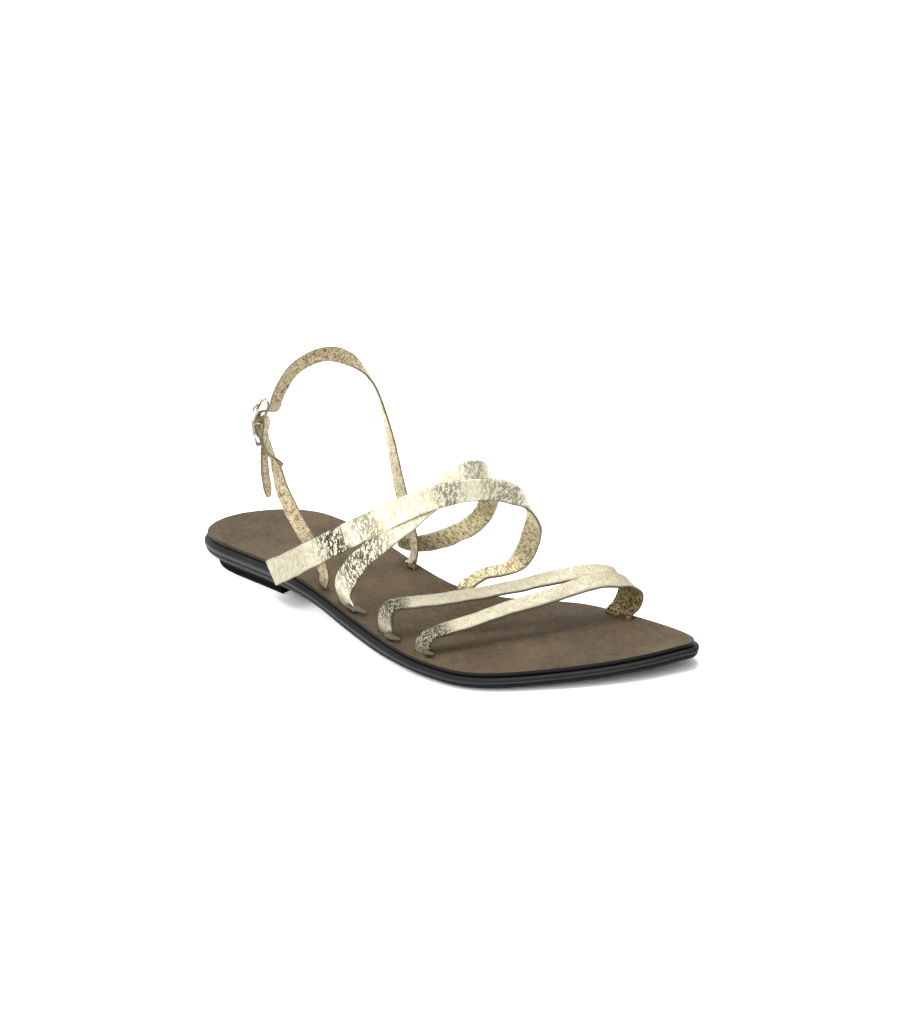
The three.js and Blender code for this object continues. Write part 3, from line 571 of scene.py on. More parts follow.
# One leather strip: face points, rounded cut edges, a gentle wave in the leather and soft creases.
def stripMesh(path, look):
    width, thickness = look["width"] * mm, look["thickness"] * mm
    places = [row[0] for row in path]
    leans = [row[1] for row in path]
    fine = np.linspace(0, 1, 60 * len(path))
    walk = np.array([curvePoint(places, t) for t in fine])
    run = np.concatenate([[0], np.cumsum(np.linalg.norm(np.diff(walk, axis=0), axis=1))])
    length = run[-1]
    count = max(int(length / look["ringStep"]), 12)
    stations = np.interp(np.linspace(0, length, count + 1), run, fine)
    side = np.linspace(-1, 1, look["faceSteps"])
    ease = min(0.55 * thickness / width, 0.2)
    vertices, corners, masks = [], [], {"crush": [], "tarnish": [], "cutEdge": [], "lining": []}
    ringSize = 2 * len(side) + 2
    shift = look["seed"]
    for index, t in enumerate(stations):
        s = length * index / count
        place = curvePoint(places, t)
        tangent = curveSlope(places, t)
        across = curvePoint(leans, t, even=True)
        across = unit(across - tangent * across.dot(tangent))
        face = np.cross(tangent, across)
        spot = t * (len(path) - 1)
        row = min(int(spot), len(path) - 2)
        w = path[row][2] + (path[row + 1][2] - path[row][2]) * (spot - row)
        wobble = noise.noise(Vector((s * look["edgeRate"], shift, 0))) * look["edgeWobble"]
        wobble2 = noise.noise(Vector((s * look["edgeRate"], shift + 7, 3))) * look["edgeWobble"]
        calm = min(1, s / (4 * mm), (length - s) / (4 * mm))
        ring = []
        share = s / length
        for facing, points in ((1, side), (-1, side[::-1])):
            for v in points:
                halfWidth = width * w / 2 - ease * width * 0.5
                a = v * halfWidth + (wobble if v > 0 else wobble2) * abs(v) ** 2 * calm
                wave = noise.noise(Vector((s * look["waveRate"], v * 0.8, shift + 2))) * look["wave"]
                crease = 0.0
                for at, depth, spread, slant in look["creases"]:
                    reached = ((share - at) * length + slant * a) / (spread * mm)
                    crease += depth * mm * math.exp(-(reached**2))
                lift = (wave + crease) * calm
                crown = -look["cup"] * v * v
                b = facing * thickness / 2 + lift + crown * calm
                ring.append((a, b, v, facing, s))
            v = points[-1]
            a = v * width * w / 2 + (wobble if v > 0 else wobble2) * calm
            wave = noise.noise(Vector((s * look["waveRate"], v * 0.8, shift + 2))) * look["wave"]
            ring.append((a, (wave - look["cup"]) * calm, v, 0, s))
        for a, b, v, facing, s in ring:
            vertices.append(place + across * a + face * b)
            corners.append((s, a + (0.05 if facing < 0 else 0)))
            for mask, spots in (("crush", look["crushed"]), ("tarnish", look["darkSpots"])):
                away = [(k, (share - at) * length / (reach * mm)) for at, reach, k in spots]
                masks[mask].append(max([k * math.exp(-(far**4)) for k, far in away], default=0.0))
            masks["cutEdge"].append(1.0 if facing == 0 else 0.0)
            masks["lining"].append(1.0 if facing * look["outerFace"] < 0 else 0.0)
    faces = []
    for i in range(count):
        here, after = i * ringSize, (i + 1) * ringSize
        for j in range(ringSize):
            k = (j + 1) % ringSize
            faces.append((here + j, after + j, after + k, here + k))
    faces.append(tuple(range(ringSize)))
    faces.append(tuple(reversed(range(count * ringSize, (count + 1) * ringSize))))
    return vertices, faces, corners, masks


def strapPiece(name, parts, materials):
    vertices, faces, corners, finishes = [], [], [], []
    masks = {"crush": [], "tarnish": [], "cutEdge": [], "lining": []}
    for path, look in parts:
        v, f, c, m = stripMesh(path, look)
        base = len(vertices)
        vertices += v
        corners += c
        faces += [tuple(base + i for i in face) for face in f]
        finishes += [look["finish"]] * len(f)
        for key in masks:
            masks[key] += m[key]
    vertices = [v - heelShift for v in vertices]
    uv = [corners[i] for face in faces for i in face]
    thing = meshObject(name, vertices, faces, uv)
    for key, values in masks.items():
        pointMask(thing, key, values)
    for material in materials:
        thing.data.materials.append(material)
    thing.data.polygons.foreach_set("material_index", finishes)
    return thing


# Widths and thicknesses in mm. A crease is (share of the length, depth, spread, slant) and a crushed or
# darker spot is (share of the length, reach, strength), lengths in mm.
strapLook = {
    "ringStep": 0.7 * mm,
    "faceSteps": 15,
    "edgeRate": 160.0,
    "edgeWobble": 0.35 * mm,
    "waveRate": 110.0,
    "wave": 0.28 * mm,
    "cup": 0.12 * mm,
    "thickness": 1.3,
    "creases": [],
    "crushed": [],
    "darkSpots": [],
    "outerFace": 1,
    "finish": 0,
}
instepLook = {**strapLook, "width": 10.5, "rise": "instepRise"}
ankleStripLook = {
    **strapLook,
    "width": 6.2,
    "thickness": 1.1,
    "rise": "ankleLoopRise",
    "slotEnds": (0,),
    "finish": 1,
    "faceSteps": 11,
}
toeStripLook = {**strapLook, "width": 7.6, "rise": "toeStrapRise", "slotEnds": (0, -1)}
strips = {
    "rearInstep": {
        **instepLook,
        "slotEnds": (-1,),
        "seed": 1.3,
        "creases": [
            (0.165, -0.35, 1.6, 0.35),
            (0.265, 0.3, 2.5, -0.3),
            (0.5, -0.3, 2, 0.5),
            (0.66, 0.3, 2.5, -0.2),
        ],
        "crushed": [(0.205, 9.5, 1), (0.305, 7, 0.55), (0.5, 6, 0.65), (0.62, 11, 0.6)],
        "darkSpots": [(0.06, 20, 1)],
    },
    "frontInstep": {
        **instepLook,
        "slotEnds": (0,),
        "seed": 4.1,
        "creases": [(0.1, 0.35, 2.2, 0.5), (0.2, -0.3, 2, -0.4), (0.5, -0.3, 2, 0.3), (0.62, 0.3, 2.5, -0.3)],
        "crushed": [(0.15, 17, 0.9), (0.5, 6, 0.55)],
    },
    "ankle": {
        **ankleStripLook,
        "seed": 8.7,
        "edgeWobble": 0.22 * mm,
        "wave": 0.18 * mm,
        "creases": [(0.28, -0.2, 1.6, 0.3), (0.46, 0.2, 2, -0.3), (0.56, -0.2, 1.5, 0.2)],
    },
    "ankleStub": {**ankleStripLook, "seed": 12.2, "edgeWobble": 0.2 * mm, "wave": 0.15 * mm},
    "rearToe": {
        **toeStripLook,
        "seed": 15.5,
        "creases": [(0.1, 0.35, 2, 0.4), (0.17, -0.3, 1.8, -0.3), (0.82, 0.3, 2.5, 0)],
        "crushed": [(0.105, 7, 1), (0.95, 8, 0.5)],
    },
    "frontToe": {
        **toeStripLook,
        "seed": 19.9,
        "creases": [(0.08, 0.35, 2, 0.4), (0.15, -0.3, 1.8, -0.3), (0.84, 0.3, 2.5, 0)],
        "crushed": [(0.08, 8, 1), (0.95, 8, 0.5)],
    },
}
foldLook = {
    **strapLook,
    "width": 3.7,
    "thickness": 0.9,
    "faceSteps": 9,
    "outerFace": -1,
    "crushed": [(0.4, 6, 0.5)],
}
folds = {
    "frontInstep": {**foldLook, "seed": 23.1, "darkSpots": [(0.5, 20, 1.9)]},
    "ankle": {**foldLook, "seed": 27.4, "finish": 1, "darkSpots": [(0.5, 20, 0)]},
    "rearToe": {**foldLook, "seed": 31.8, "darkSpots": [(0.5, 20, 2)]},
    "frontToe": {**foldLook, "seed": 35.2, "darkSpots": [(0.5, 20, 2)]},
}
goldLook = {
    "flakeSize": 0.52 * mm,
    "flakeStretch": 2.2,
    "flakeTwist": 0.45,
    "patchy": (0.42, 0.66),
    "crushShift": 0.12,
    # Flakes in this tone range take the crack colour: painted dark reflections.
    "darkReflectionFlakes": (0.52, 0.6),
    "foilPale": (0.68, 0.66, 0.56),
    "foilWarm": (0.54, 0.475, 0.285),
    # Warmer inner faces of the same foil: painted shade and reflection.
    "foilInnerShade": (0.8, 0.7, 0.43),
    "crackAndDarkReflection": (0.04, 0.032, 0.01),
    "dull": 0.52,
    # Colour of the listed darker spots, strongest on the folds beside the slots.
    "tarnish": (0.12, 0.105, 0.07),
    # Raw cut edge colour, darkened further as painted shade.
    "cutEdge": (0.065, 0.05, 0.034),
    "wearShare": 0.22,
    "innerShadeFlecks": 0.55,
    "metal": 0.9,
    "darkDull": 0.15,
    "specular": 0.25,
    "roughness": 0.3,
    "flakeRough": 0.16,
    "edgeRough": 0.35,
    "calmBump": 0.3,
    "bump": 0.9,
    "bumpDepth": 0.3 * mm,
}
ankleLook = {
    **goldLook,
    "flakeSize": 0.42 * mm,
    "flakeStretch": 1.3,
    "foilPale": (0.74, 0.66, 0.47),
    "foilWarm": (0.5, 0.42, 0.27),
    "foilInnerShade": (0.6, 0.5, 0.32),
    "crackAndDarkReflection": (0.15, 0.115, 0.06),
    "wearShare": 0.7,
    "roughness": 0.42,
    "calmBump": 0.7,
}
toeLook = {
    **goldLook,
    "flakeSize": 0.45 * mm,
    "flakeStretch": 1.1,
    "foilPale": (0.4, 0.375, 0.29),
    "foilWarm": (0.32, 0.29, 0.2),
    "foilInnerShade": (0.44, 0.34, 0.15),
    "wearShare": 0.15,
    "roughness": 0.42,
}
upperGold = goldLeather("crackledGoldLeather", goldLook)
ankleGold = goldLeather("tanGoldLeather", ankleLook)
toeGold = goldLeather("softGoldLeather", toeLook)


def stripParts(names, foldNames):
    parts = [(pathOf(name), strips[name]) for name in names]
    return parts + [(strapRows(foldTables[name], mm), folds[name]) for name in foldNames]


upper = strapPiece(
    "instepAndAnkleStraps",
    stripParts(("rearInstep", "frontInstep", "ankle", "ankleStub"), ("frontInstep", "ankle")),
    [upperGold, ankleGold],
)
toePair = ("rearToe", "frontToe")
toeStraps = strapPiece("toeStrapPair", stripParts(toePair, toePair), [toeGold])
for piece, node in ((upper, "instep_straps"), (toeStraps, "toe_straps")):
    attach(piece, "root")
    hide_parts(node)
print("straps made")

# Sole: plan of the last, then layers with a profiled side.
planTable = [
    (0, -0.04, -0.04),
    (0.008, 0.07, -0.148),
    (0.026, 0.155, -0.225),
    (0.052, 0.236, -0.27),
    (0.088, 0.3, -0.3),
    (0.132, 0.332, -0.318),
    (0.18, 0.32, -0.335),
    (0.24, 0.285, -0.358),
    (0.312, 0.236, -0.398),
    (0.384, 0.181, -0.444),
    (0.452, 0.135, -0.498),
    (0.512, 0.112, -0.542),
    (0.56, 0.12, -0.579),
    (0.608, 0.166, -0.612),
    (0.656, 0.239, -0.636),
    (0.7, 0.306, -0.645),
    (0.744, 0.349, -0.64),
    (0.784, 0.358, -0.602),
    (0.824, 0.354, -0.52),
    (0.864, 0.341, -0.41),
    (0.904, 0.321, -0.287),
    (0.94, 0.296, -0.157),
    (0.97, 0.264, -0.02),
    (0.99, 0.228, 0.105),
    (1, 0.172, 0.172),
]
planSize = np.array([shoe["insoleLength"], shoe["ballWidth"], 0.0])
planPoints = [planSize * (along, inner, 0) for along, inner, outer in planTable]
planPoints += [planSize * (along, outer, 0) for along, inner, outer in planTable[-2:0:-1]]


def planEdge(t, out):
    point = curvePoint(planPoints, t % 1, closed=True).copy()
    slope = curveSlope(planPoints, t % 1, closed=True)
    point[0] += -slope[1] * out
    point[1] += slope[0] * out
    return point


def layerMesh(side, topAt, bottomAt, look):
    endShare, steps, cells = look["endShare"], look["steps"], look["cells"]
    vertices, faces = [], []
    shares = [0.5 * endShare * i / steps for i in range(steps + 1)]
    ringSize = 2 * (steps + 1)
    for depth, share in side:
        out = depth * look["sideDepth"]
        ring = [planEdge(t, out) for t in shares] + [planEdge(1 - t, out) for t in reversed(shares)]
        for point in ring:
            top, bottom = topAt(point[0]), bottomAt(point[0])
            point[2] = bottom + (top - bottom) * share
            vertices.append(point - heelShift)
    for i in range(len(side) - 1):
        for j in range(ringSize):
            k = (j + 1) % ringSize
            here, after = i * ringSize, (i + 1) * ringSize
            faces.append((here + j, here + k, after + k, after + j))
    for ringIndex, flip in ((0, False), (len(side) - 1, True)):
        base = ringIndex * ringSize
        rows = []
        for j in range(steps + 1):
            inner, outer = base + j, base + ringSize - 1 - j
            if j == steps and endShare < 1:
                rows.append([inner, outer])
                continue
            row = [inner]
            a, b = vertices[inner], vertices[outer]
            for cell in range(1, cells):
                point = a + (b - a) * cell / cells
                x = point[0] + heelShift[0]
                top, bottom = topAt(x), bottomAt(x)
                point[2] = top if ringIndex == 0 else bottom
                row.append(len(vertices))
                vertices.append(point)
            rows.append(row + [outer])
        for j in range(steps):
            if len(rows[j + 1]) == 2:
                loop = rows[j] + rows[j + 1][::-1]
                faces.append(tuple(reversed(loop)) if flip else tuple(loop))
                continue
            for cell in range(cells):
                quad = (rows[j][cell], rows[j][cell + 1], rows[j + 1][cell + 1], rows[j + 1][cell])
                faces.append(quad if not flip else tuple(reversed(quad)))
    return vertices, faces


def cleaned(thing):
    work = bmesh.new()
    work.from_mesh(thing.data)
    bmesh.ops.remove_doubles(work, verts=work.verts, dist=1e-6)
    bmesh.ops.dissolve_degenerate(work, edges=work.edges, dist=1e-7)
    bmesh.ops.recalc_face_normals(work, faces=work.faces)
    work.to_mesh(thing.data)
    work.free()
    return thing


outsoleLook = {
    "sideDepth": 1.7 * mm,
    "endShare": 1.0,
    "steps": 300,
    "cells": 14,
    "color": (0.004, 0.004, 0.0044),
    "sideSheen": (0.008, 0.008, 0.009),
    # Painted sheen: the middle band of the side is a little greyer.
    "paintedSheenColor": (0.025, 0.0255, 0.028),
    "roughness": 0.4,
    "specular": 0.13,
}
outsoleSide = [
    (-0.6, 1),
    (-0.37, 0.998),
    (-0.12, 0.99),
    (0.12, 0.97),
    (0.5, 0.895),
    (0.82, 0.81),
    (0.96, 0.75),
    (1, 0.7),
    (0.995, 0.62),
    (0.97, 0.55),
    (0.94, 0.515),
    (0.88, 0.495),
    (0.68, 0.475),
    (0.63, 0.45),
    (0.63, 0.42),
    (0.68, 0.395),
    (0.78, 0.375),
    (0.8, 0.35),
    (0.76, 0.27),
    (0.62, 0.17),
    (0.45, 0.1),
    (0.2, 0.045),
    (0, 0.01),
    (-0.3, 0),
]
vertices, faces = layerMesh(outsoleSide, outsoleTop, outsoleBottom, outsoleLook)
outsole = cleaned(meshObject("mouldedOutsole", vertices, faces))


# How far up the side each point lies, so the middle band of the moulded side can be a little greyer: a
# painted sheen.
def sideBand(thing, low, high):
    values = []
    for vertex in thing.data.vertices:
        x = vertex.co.x + heelShift[0]
        top, bottom = outsoleTop(x), outsoleBottom(x)
        share = (vertex.co.z - bottom) / (top - bottom)
        values.append(float(smooth(share, low - 0.06, low) * (1 - smooth(share, high, high + 0.12))))
    pointMask(thing, "sideBand", values)


sideBand(outsole, 0.47, 0.64)


def rubber(name, spec):
    material, tree, links, shader = newMaterial(name)
    patch, grain = driftTones(tree, 0.03, 0.0004)
    scuff = ranged(tree, patch, 0.45, 0.75)
    color = mixColor(tree, scuff, spec["color"], spec["sideSheen"])
    # The greyer middle band of the side is a painted sheen.
    color = mixColor(tree, attribute(tree, "sideBand"), color, spec["paintedSheenColor"])
    shader.inputs["Specular IOR Level"].default_value = spec["specular"]
    links.new(color, shader.inputs["Base Color"])
    roughen(tree, shader, grain, spec["roughness"], 0.2)
    bumpNormal(tree, shader, grain, 0.25, 0.08 * mm)
    return material


soleRubber = rubber("blackRubber", outsoleLook)
outsole.data.materials.append(soleRubber)

liftLook = {
    "sideDepth": 4 * mm,
    "endShare": 0.29,
    "steps": 90,
    "cells": 14,
    "color": (0.002, 0.002, 0.0022),
    "sideSheen": (0.004, 0.004, 0.0045),
    "specular": 0.04,
    "roughness": 0.6,
}
liftSide = [(-0.6, 1), (-0.85, 0.72), (-0.87, 0.5), (-0.95, 0.47), (-1, 0.44)]
liftSide += [(-1, 0.36), (-0.95, 0.33), (-0.9, 0.3), (-0.98, 0.08), (-1.05, 0)]
liftTop = shoe["heelLiftHeight"] - shoe["layerGap"]
vertices, faces = layerMesh(liftSide, lambda x: liftTop, lambda x: 0.0, liftLook)
heelLift = cleaned(meshObject("heelLiftBlock", vertices, faces))
heelLift.data.materials.append(rubber("blackLiftRubber", {**outsoleLook, **liftLook}))

insoleLook = {
    "sideDepth": 0.45 * mm,
    "endShare": 1.0,
    "steps": 260,
    "cells": 60,
    "slotClearance": 0.45 * mm,
    "slotCorners": 24,
    "slotReach": 3.2 * mm,
    "brown": (0.066, 0.043, 0.02),
    "light": (0.088, 0.061, 0.03),
    "dark": (0.028, 0.0175, 0.008),
    "edgeColor": (0.006, 0.0055, 0.005),
}
insoleSide = [(-1.3, 1), (-1, 0.985), (-0.4, 0.9), (-0.08, 0.76), (0, 0.6), (0, 0.2), (-0.44, 0)]
vertices, faces = layerMesh(
    insoleSide, insoleTop, lambda x: insoleTop(x) - shoe["insoleThickness"], insoleLook
)
insole = cleaned(meshObject("leatherInsole", vertices, faces))


def insoleLeather(spec):
    material, tree, links, shader = newMaterial("brownInsoleLeather")
    where = addNode(tree, "ShaderNodeTexCoord")
    stretch = addNode(tree, "ShaderNodeMapping", Vector=where.outputs["Object"], Scale=(280, 1900, 300))
    stretch.inputs["Rotation"].default_value = (0, 0, math.radians(6))
    streak = addNode(
        tree, "ShaderNodeTexNoise", Vector=stretch.outputs[0], Scale=1.0, Detail=5.0, Roughness=0.6
    )
    patch, grain = driftTones(tree, 0.025, 0.0005)
    line = ranged(tree, streak.outputs["Fac"], 0.38, 0.58)
    color = mixColor(tree, line, spec["dark"], spec["brown"])
    color = mixColor(tree, ranged(tree, patch, 0.35, 0.75), color, spec["light"])
    pores = ranged(tree, grain, 0.5, 0.66, 0.0, 0.7)
    links.new(mixColor(tree, pores, color, spec["dark"]), shader.inputs["Base Color"])
    shader.inputs["Specular IOR Level"].default_value = 0.2
    roughen(tree, shader, grain, 0.6, 0.25)
    height = mathNode(tree, "ADD", streak.outputs["Fac"], grain)
    bumpNormal(tree, shader, height, 0.35, 0.12 * mm)
    return material


insole.data.materials.append(insoleLeather(insoleLook))
insole.data.materials.append(rubber("paintedInsoleEdge", {**outsoleLook, "color": insoleLook["edgeColor"]}))
for polygon in insole.data.polygons:
    polygon.material_index = 1 if abs(polygon.normal.z) < 0.6 else 0


# Slots through the insole where the straps go down.
def slotCutter(row, width, thickness):
    gap, corners, reach = insoleLook["slotClearance"], insoleLook["slotCorners"], insoleLook["slotReach"]
    place, across, w = row
    halfLong, halfShort = width * w / 2 + gap, thickness / 2 + gap
    along = unit(np.array([across[0], across[1], 0.0]))
    short = np.array([-along[1], along[0], 0.0])
    outline = []
    for corner in range(corners):
        angle = corner / corners * math.tau
        bulge = halfLong - halfShort
        a = math.cos(angle) * halfShort + math.copysign(bulge, math.cos(angle))
        outline.append(along * a + short * math.sin(angle) * halfShort)
    centre = place - heelShift
    level = insoleTop(place[0])
    points = []
    for height in (-reach, reach):
        for step in outline:
            point = centre + step
            point[2] = level + height
            points.append(point)
    sides = [(i, (i + 1) % corners, corners + (i + 1) % corners, corners + i) for i in range(corners)]
    return points, sides + [tuple(reversed(range(corners))), tuple(range(corners, 2 * corners))]


vertices, faces = [], []
for name, strip in strips.items():
    rows = strapRows(strapTables[name], shoe[strip["rise"]])
    for end in strip["slotEnds"]:
        points, sides = slotCutter(rows[end], strip["width"] * mm, strip["thickness"] * mm)
        base = len(vertices)
        vertices += points
        faces += [tuple(base + i for i in face) for face in sides]
cutter = cleaned(meshObject("slotCutters", vertices, faces))
cut = insole.modifiers.new("slots", "BOOLEAN")
cut.operation, cut.solver, cut.use_self, cut.object = "DIFFERENCE", "EXACT", True, cutter
cutMesh = bpy.data.meshes.new_from_object(insole.evaluated_get(bpy.context.evaluated_depsgraph_get()))
insole.modifiers.clear()
insole.data = cutMesh
bpy.data.objects.remove(cutter)

for piece, node, finish in (
    (outsole, "outsole", "sole_rubber"),
    (heelLift, "heel_lift", "sole_rubber"),
    (insole, "insole", "insole_leather"),
):
    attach(piece, "root")
    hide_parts(node)
print("sole made")


# Buckle wires follow a path, so Geometry Nodes sweep them.
def wireTree():
    tree = bpy.data.node_groups.new("wireAlongPath", "GeometryNodeTree")
    tree.interface.new_socket("Geometry", in_out="INPUT", socket_type="NodeSocketGeometry")
    radius = tree.interface.new_socket("Wire radius", in_out="INPUT", socket_type="NodeSocketFloat")
    sides = tree.interface.new_socket("Wire sides", in_out="INPUT", socket_type="NodeSocketInt")
    finish = tree.interface.new_socket("Finish", in_out="INPUT", socket_type="NodeSocketMaterial")
    tree.interface.new_socket("Geometry", in_out="OUTPUT", socket_type="NodeSocketGeometry")
    nodes, links = tree.nodes, tree.links
    source, target = nodes.new("NodeGroupInput"), nodes.new("NodeGroupOutput")
    path = nodes.new("GeometryNodeMeshToCurve")
    ring = nodes.new("GeometryNodeCurvePrimitiveCircle")
    sweep = nodes.new("GeometryNodeCurveToMesh")
    realize = nodes.new("GeometryNodeRealizeInstances")
    coat = nodes.new("GeometryNodeSetMaterial")
    links.new(source.outputs["Geometry"], path.inputs["Mesh"])
    links.new(source.outputs["Wire radius"], ring.inputs["Radius"])
    links.new(source.outputs["Wire sides"], ring.inputs["Resolution"])
    links.new(path.outputs["Curve"], sweep.inputs["Curve"])
    links.new(ring.outputs["Curve"], sweep.inputs["Profile Curve"])
    sweep.inputs["Fill Caps"].default_value = True
    links.new(sweep.outputs["Mesh"], realize.inputs["Geometry"])
    links.new(realize.outputs["Geometry"], coat.inputs["Geometry"])
    links.new(source.outputs["Finish"], coat.inputs["Material"])
    links.new(coat.outputs["Geometry"], target.inputs["Geometry"])
    return tree, radius.identifier, sides.identifier, finish.identifier


wires, radiusKey, sidesKey, finishKey = wireTree()


def metalFinish(name, color, roughness):
    material, tree, links, shader = newMaterial(name)
    patch, grain = driftTones(tree, 0.004, 0.0003)
    # Noise patches darken the metal's colour: painted dark reflections.
    darkReflectionPatch = ranged(tree, patch, 0.4, 0.7)
    shade = tuple(c * 0.35 for c in color)
    links.new(mixColor(tree, darkReflectionPatch, color, shade), shader.inputs["Base Color"])
    shader.inputs["Metallic"].default_value = 1.0
    roughen(tree, shader, grain, roughness, 0.14)
    bumpNormal(tree, shader, grain, 0.15, 0.03 * mm)
    return material


buckleMetal = metalFinish("paleBuckleMetal", (0.56, 0.52, 0.43), 0.16)


def wireMesh(points, closed, steps, diameter):
    path = [curvePoint(points, i / steps, closed) for i in range(steps if closed else steps + 1)]
    mesh = bpy.data.meshes.new("wirePath")
    edges = [(i, (i + 1) % len(path)) for i in range(steps)]
    mesh.from_pydata([tuple(p - heelShift) for p in path], edges, [])
    thing = bpy.data.objects.new("wirePath", mesh)
    bpy.context.scene.collection.objects.link(thing)
    sweep = thing.modifiers.new("wire", "NODES")
    sweep.node_group = wires
    sweep[radiusKey], sweep[sidesKey], sweep[finishKey] = diameter / 2, 20, buckleMetal
    result = bpy.data.meshes.new_from_object(thing.evaluated_get(bpy.context.evaluated_depsgraph_get()))
    bpy.data.objects.remove(thing)
    return result


def wirePiece(name, meshes):
    vertices, faces = [], []
    for mesh in meshes:
        base = len(vertices)
        vertices += [np.array(v.co) for v in mesh.vertices]
        faces += [tuple(base + i for i in p.vertices) for p in mesh.polygons]
    thing = cleaned(meshObject(name, vertices, faces))
    thing.data.materials.append(buckleMetal)
    return thing


reach = buckle["width"] / 2
corner, bow = buckle["corner"], buckle["bow"]
framePoints = [
    atBuckle(half, -reach + corner, 0),
    atBuckle(half, reach - corner, 0),
    atBuckle(half - corner, reach, bow * 0.13),
    atBuckle(0, reach, bow),
    atBuckle(-half + corner, reach, bow * 0.13),
    atBuckle(-half, reach - corner, 0),
    atBuckle(-half, -reach + corner, 0),
    atBuckle(-half + corner, -reach, bow * 0.13),
    atBuckle(0, -reach, bow),
    atBuckle(half - corner, -reach, bow * 0.13),
]
barPoints = [
    atBuckle(0, -reach, bow * 0.6),
    atBuckle(0, -reach * 0.75, 0),
    atBuckle(0, reach * 0.75, 0),
    atBuckle(0, reach, bow * 0.6),
]
buckleFrame = wirePiece(
    "buckleFrameWire",
    [wireMesh(framePoints, True, 160, buckle["wire"]), wireMesh(barPoints, False, 40, buckle["wire"])],
)
prongWire = buckle["prongWire"]
eyeRadius = wireRadius + 1.8 * buckle["pinGap"] + prongWire / 2
tipOut = wireRadius + 1.6 * buckle["pinGap"] + prongWire / 2
prongRise = foldRadius + leather * 1.35 + prongWire / 2 + buckle["pinGap"]
eyeTurns = np.arange(12) / 12 * math.tau
eyePoints = [atBuckle(math.cos(a) * eyeRadius, 0, math.sin(a) * eyeRadius) for a in eyeTurns]
prongPoints = [
    atBuckle(eyeRadius * 0.9, 0, eyeRadius * 0.5),
    atBuckle(eyeRadius * 1.25, 0, prongRise * 0.75),
    atBuckle(half * 0.5, 0, prongRise),
    atBuckle(half, 0, tipOut),
    atBuckle(half + wireRadius + prongWire * 0.36, 0, tipOut - prongWire * 0.45),
]
bucklePin = wirePiece(
    "buckleProngWire", [wireMesh(eyePoints, True, 60, prongWire), wireMesh(prongPoints, False, 60, prongWire)]
)
for piece, node in ((buckleFrame, "buckle_frame"), (bucklePin, "buckle_prong")):
    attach(piece, "root")
    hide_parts(node)
print("buckle made")

# Studio: pale floor that glows in places as painted light, soft light and the photo's angle.
studio = {
    "floorSize": 12.0,
    "floorColor": (0.95, 0.95, 0.952),
    # Strength of the floor's glow: painted light that lightens its shadows.
    "floorGlow": 0.5,
    "heelGlowEnds": (0.02, 0.035),
    "shankGlowStarts": (0.04, 0.055),
    "shankGlowEnds": (0.095, 0.14),
    "base": 0.75,
    "glows": [
        {"side": (-0.68, 0.66, 0.32), "from": 0.3, "to": 0.9, "power": 0.75},
        {"side": (-0.2, -0.97, 0.12), "from": 0.6, "to": 0.93, "power": 2.2},
        {"side": (-0.35, -0.1, 0.93), "from": 0.5, "to": 0.95, "power": 0.4},
    ],
    "overhead": 3.0,
    "overheadAngle": 34,
    "overheadTilt": (-7, -8, 0),
    "side": {"place": (-0.75, -0.8, 1.0), "target": (0.07, 0, 0.04), "power": 2.0, "size": 0.6},
}
# The camera that fits the photo: its three axes, its place in metres and its lens in mm.
photoView = {
    "right": (0.7096, 0.6994, -0.0854),
    "up": (-0.1815, 0.2986, 0.9369),
    "back": (0.6809, -0.6493, 0.3388),
    "place": (0.7519, -0.6137, 0.3649),
    "sensor": 36,
    "lens": 84.375,
    "near": 0.01,
    "far": 50,
}
floorMaterial, tree, links, shader = newMaterial("paleFloor")
shader.inputs["Base Color"].default_value = (*studio["floorColor"], 1)
shader.inputs["Roughness"].default_value = 0.9
where = addNode(tree, "ShaderNodeTexCoord")
speck = addNode(tree, "ShaderNodeTexNoise", Vector=where.outputs["Object"], Scale=300.0)
ahead = addNode(tree, "ShaderNodeSeparateXYZ", Vector=where.outputs["Object"]).outputs[0]
# The floor glows behind the heel and beside the shank: painted light that lightens the floor shadows there.
heelFloorGlow = ranged(tree, ahead, *studio["heelGlowEnds"], studio["floorGlow"], 0.0)
shankStart = ranged(tree, ahead, *studio["shankGlowStarts"], 0.0, studio["floorGlow"])
shankEnd = ranged(tree, ahead, *studio["shankGlowEnds"], 1.0, 0.0)
shankFloorGlow = mathNode(tree, "MULTIPLY", shankStart, shankEnd)
floorGlow = mathNode(tree, "ADD", heelFloorGlow, shankFloorGlow)
shader.inputs["Emission Color"].default_value = (1, 1, 1, 1)
links.new(floorGlow, shader.inputs["Emission Strength"])
bumpNormal(tree, shader, speck.outputs["Fac"], 0.02, 0.1 * mm)
size = studio["floorSize"] / 2
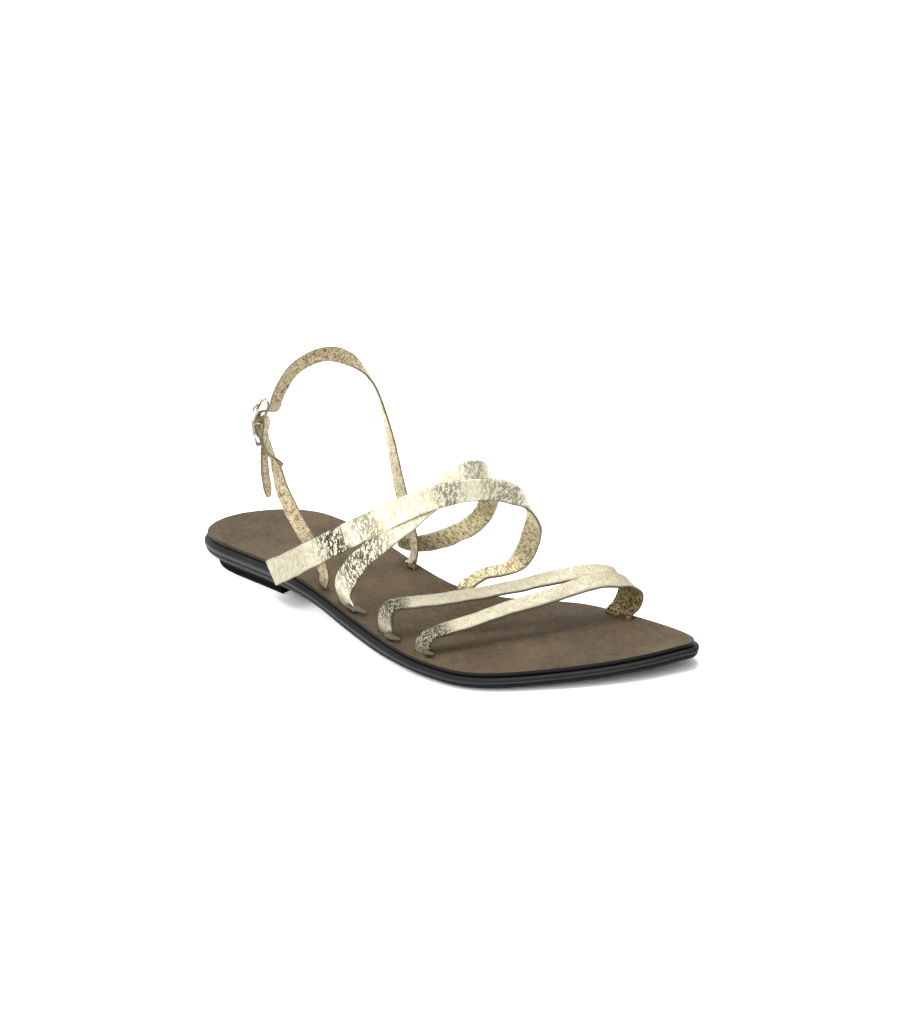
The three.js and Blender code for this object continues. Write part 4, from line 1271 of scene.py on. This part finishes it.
floor = meshObject(
    "studioFloor",
    [np.array([x * size, y * size, -0.0003]) for x, y in ((-1, -1), (1, -1), (1, 1), (-1, 1))],
    [(0, 1, 2, 3)],
    smoothShade=False,
)
floor.data.materials.append(floorMaterial)

world = bpy.data.worlds.new("paleStudio")
world.use_nodes = True
tree = world.node_tree
sky = tree.nodes["Background"]
lookWay = addNode(tree, "ShaderNodeTexCoord")
glow = studio["base"]
for lobe in studio["glows"]:
    facing = addNode(tree, "ShaderNodeVectorMath", operation="DOT_PRODUCT")
    tree.links.new(lookWay.outputs["Generated"], facing.inputs[0])
    facing.inputs[1].default_value = lobe["side"]
    part = ranged(tree, facing.outputs["Value"], lobe["from"], lobe["to"], 0.0, lobe["power"])
    glow = mathNode(tree, "ADD", glow, part)
tree.links.new(glow, sky.inputs["Strength"])
sky.inputs["Color"].default_value = (1, 1, 1, 1)
bpy.context.scene.world = world



def lamp(name, kind):
    thing = bpy.data.objects.new(name, bpy.data.lights.new(name, kind))
    bpy.context.scene.collection.objects.link(thing)
    return thing


overhead = lamp("overheadSoftbox", "SUN")
overhead.data.energy = studio["overhead"]
overhead.data.angle = math.radians(studio["overheadAngle"])
overhead.rotation_euler = [math.radians(angle) for angle in studio["overheadTilt"]]
box = studio["side"]
sideBox = lamp("sideSoftbox", "AREA")
sideBox.data.energy, sideBox.data.size = box["power"], box["size"]
sideBox.location = box["place"]
aim = Vector(box["target"]) - Vector(box["place"])
sideBox.rotation_euler = aim.to_track_quat("-Z", "Y").to_euler()

camera = bpy.data.objects.new("photoCamera", bpy.data.cameras.new("photoCamera"))
bpy.context.scene.collection.objects.link(camera)
turn = Matrix([photoView[axis] for axis in ("right", "up", "back")]).transposed().to_4x4()
camera.matrix_world = Matrix.Translation(photoView["place"]) @ turn
camera.data.sensor_width = photoView["sensor"]
camera.data.lens = photoView["lens"]
camera.data.clip_start, camera.data.clip_end = photoView["near"], photoView["far"]
bpy.context.scene.camera = camera
bpy.context.scene.view_settings.view_transform = "Standard"
print("studio made")
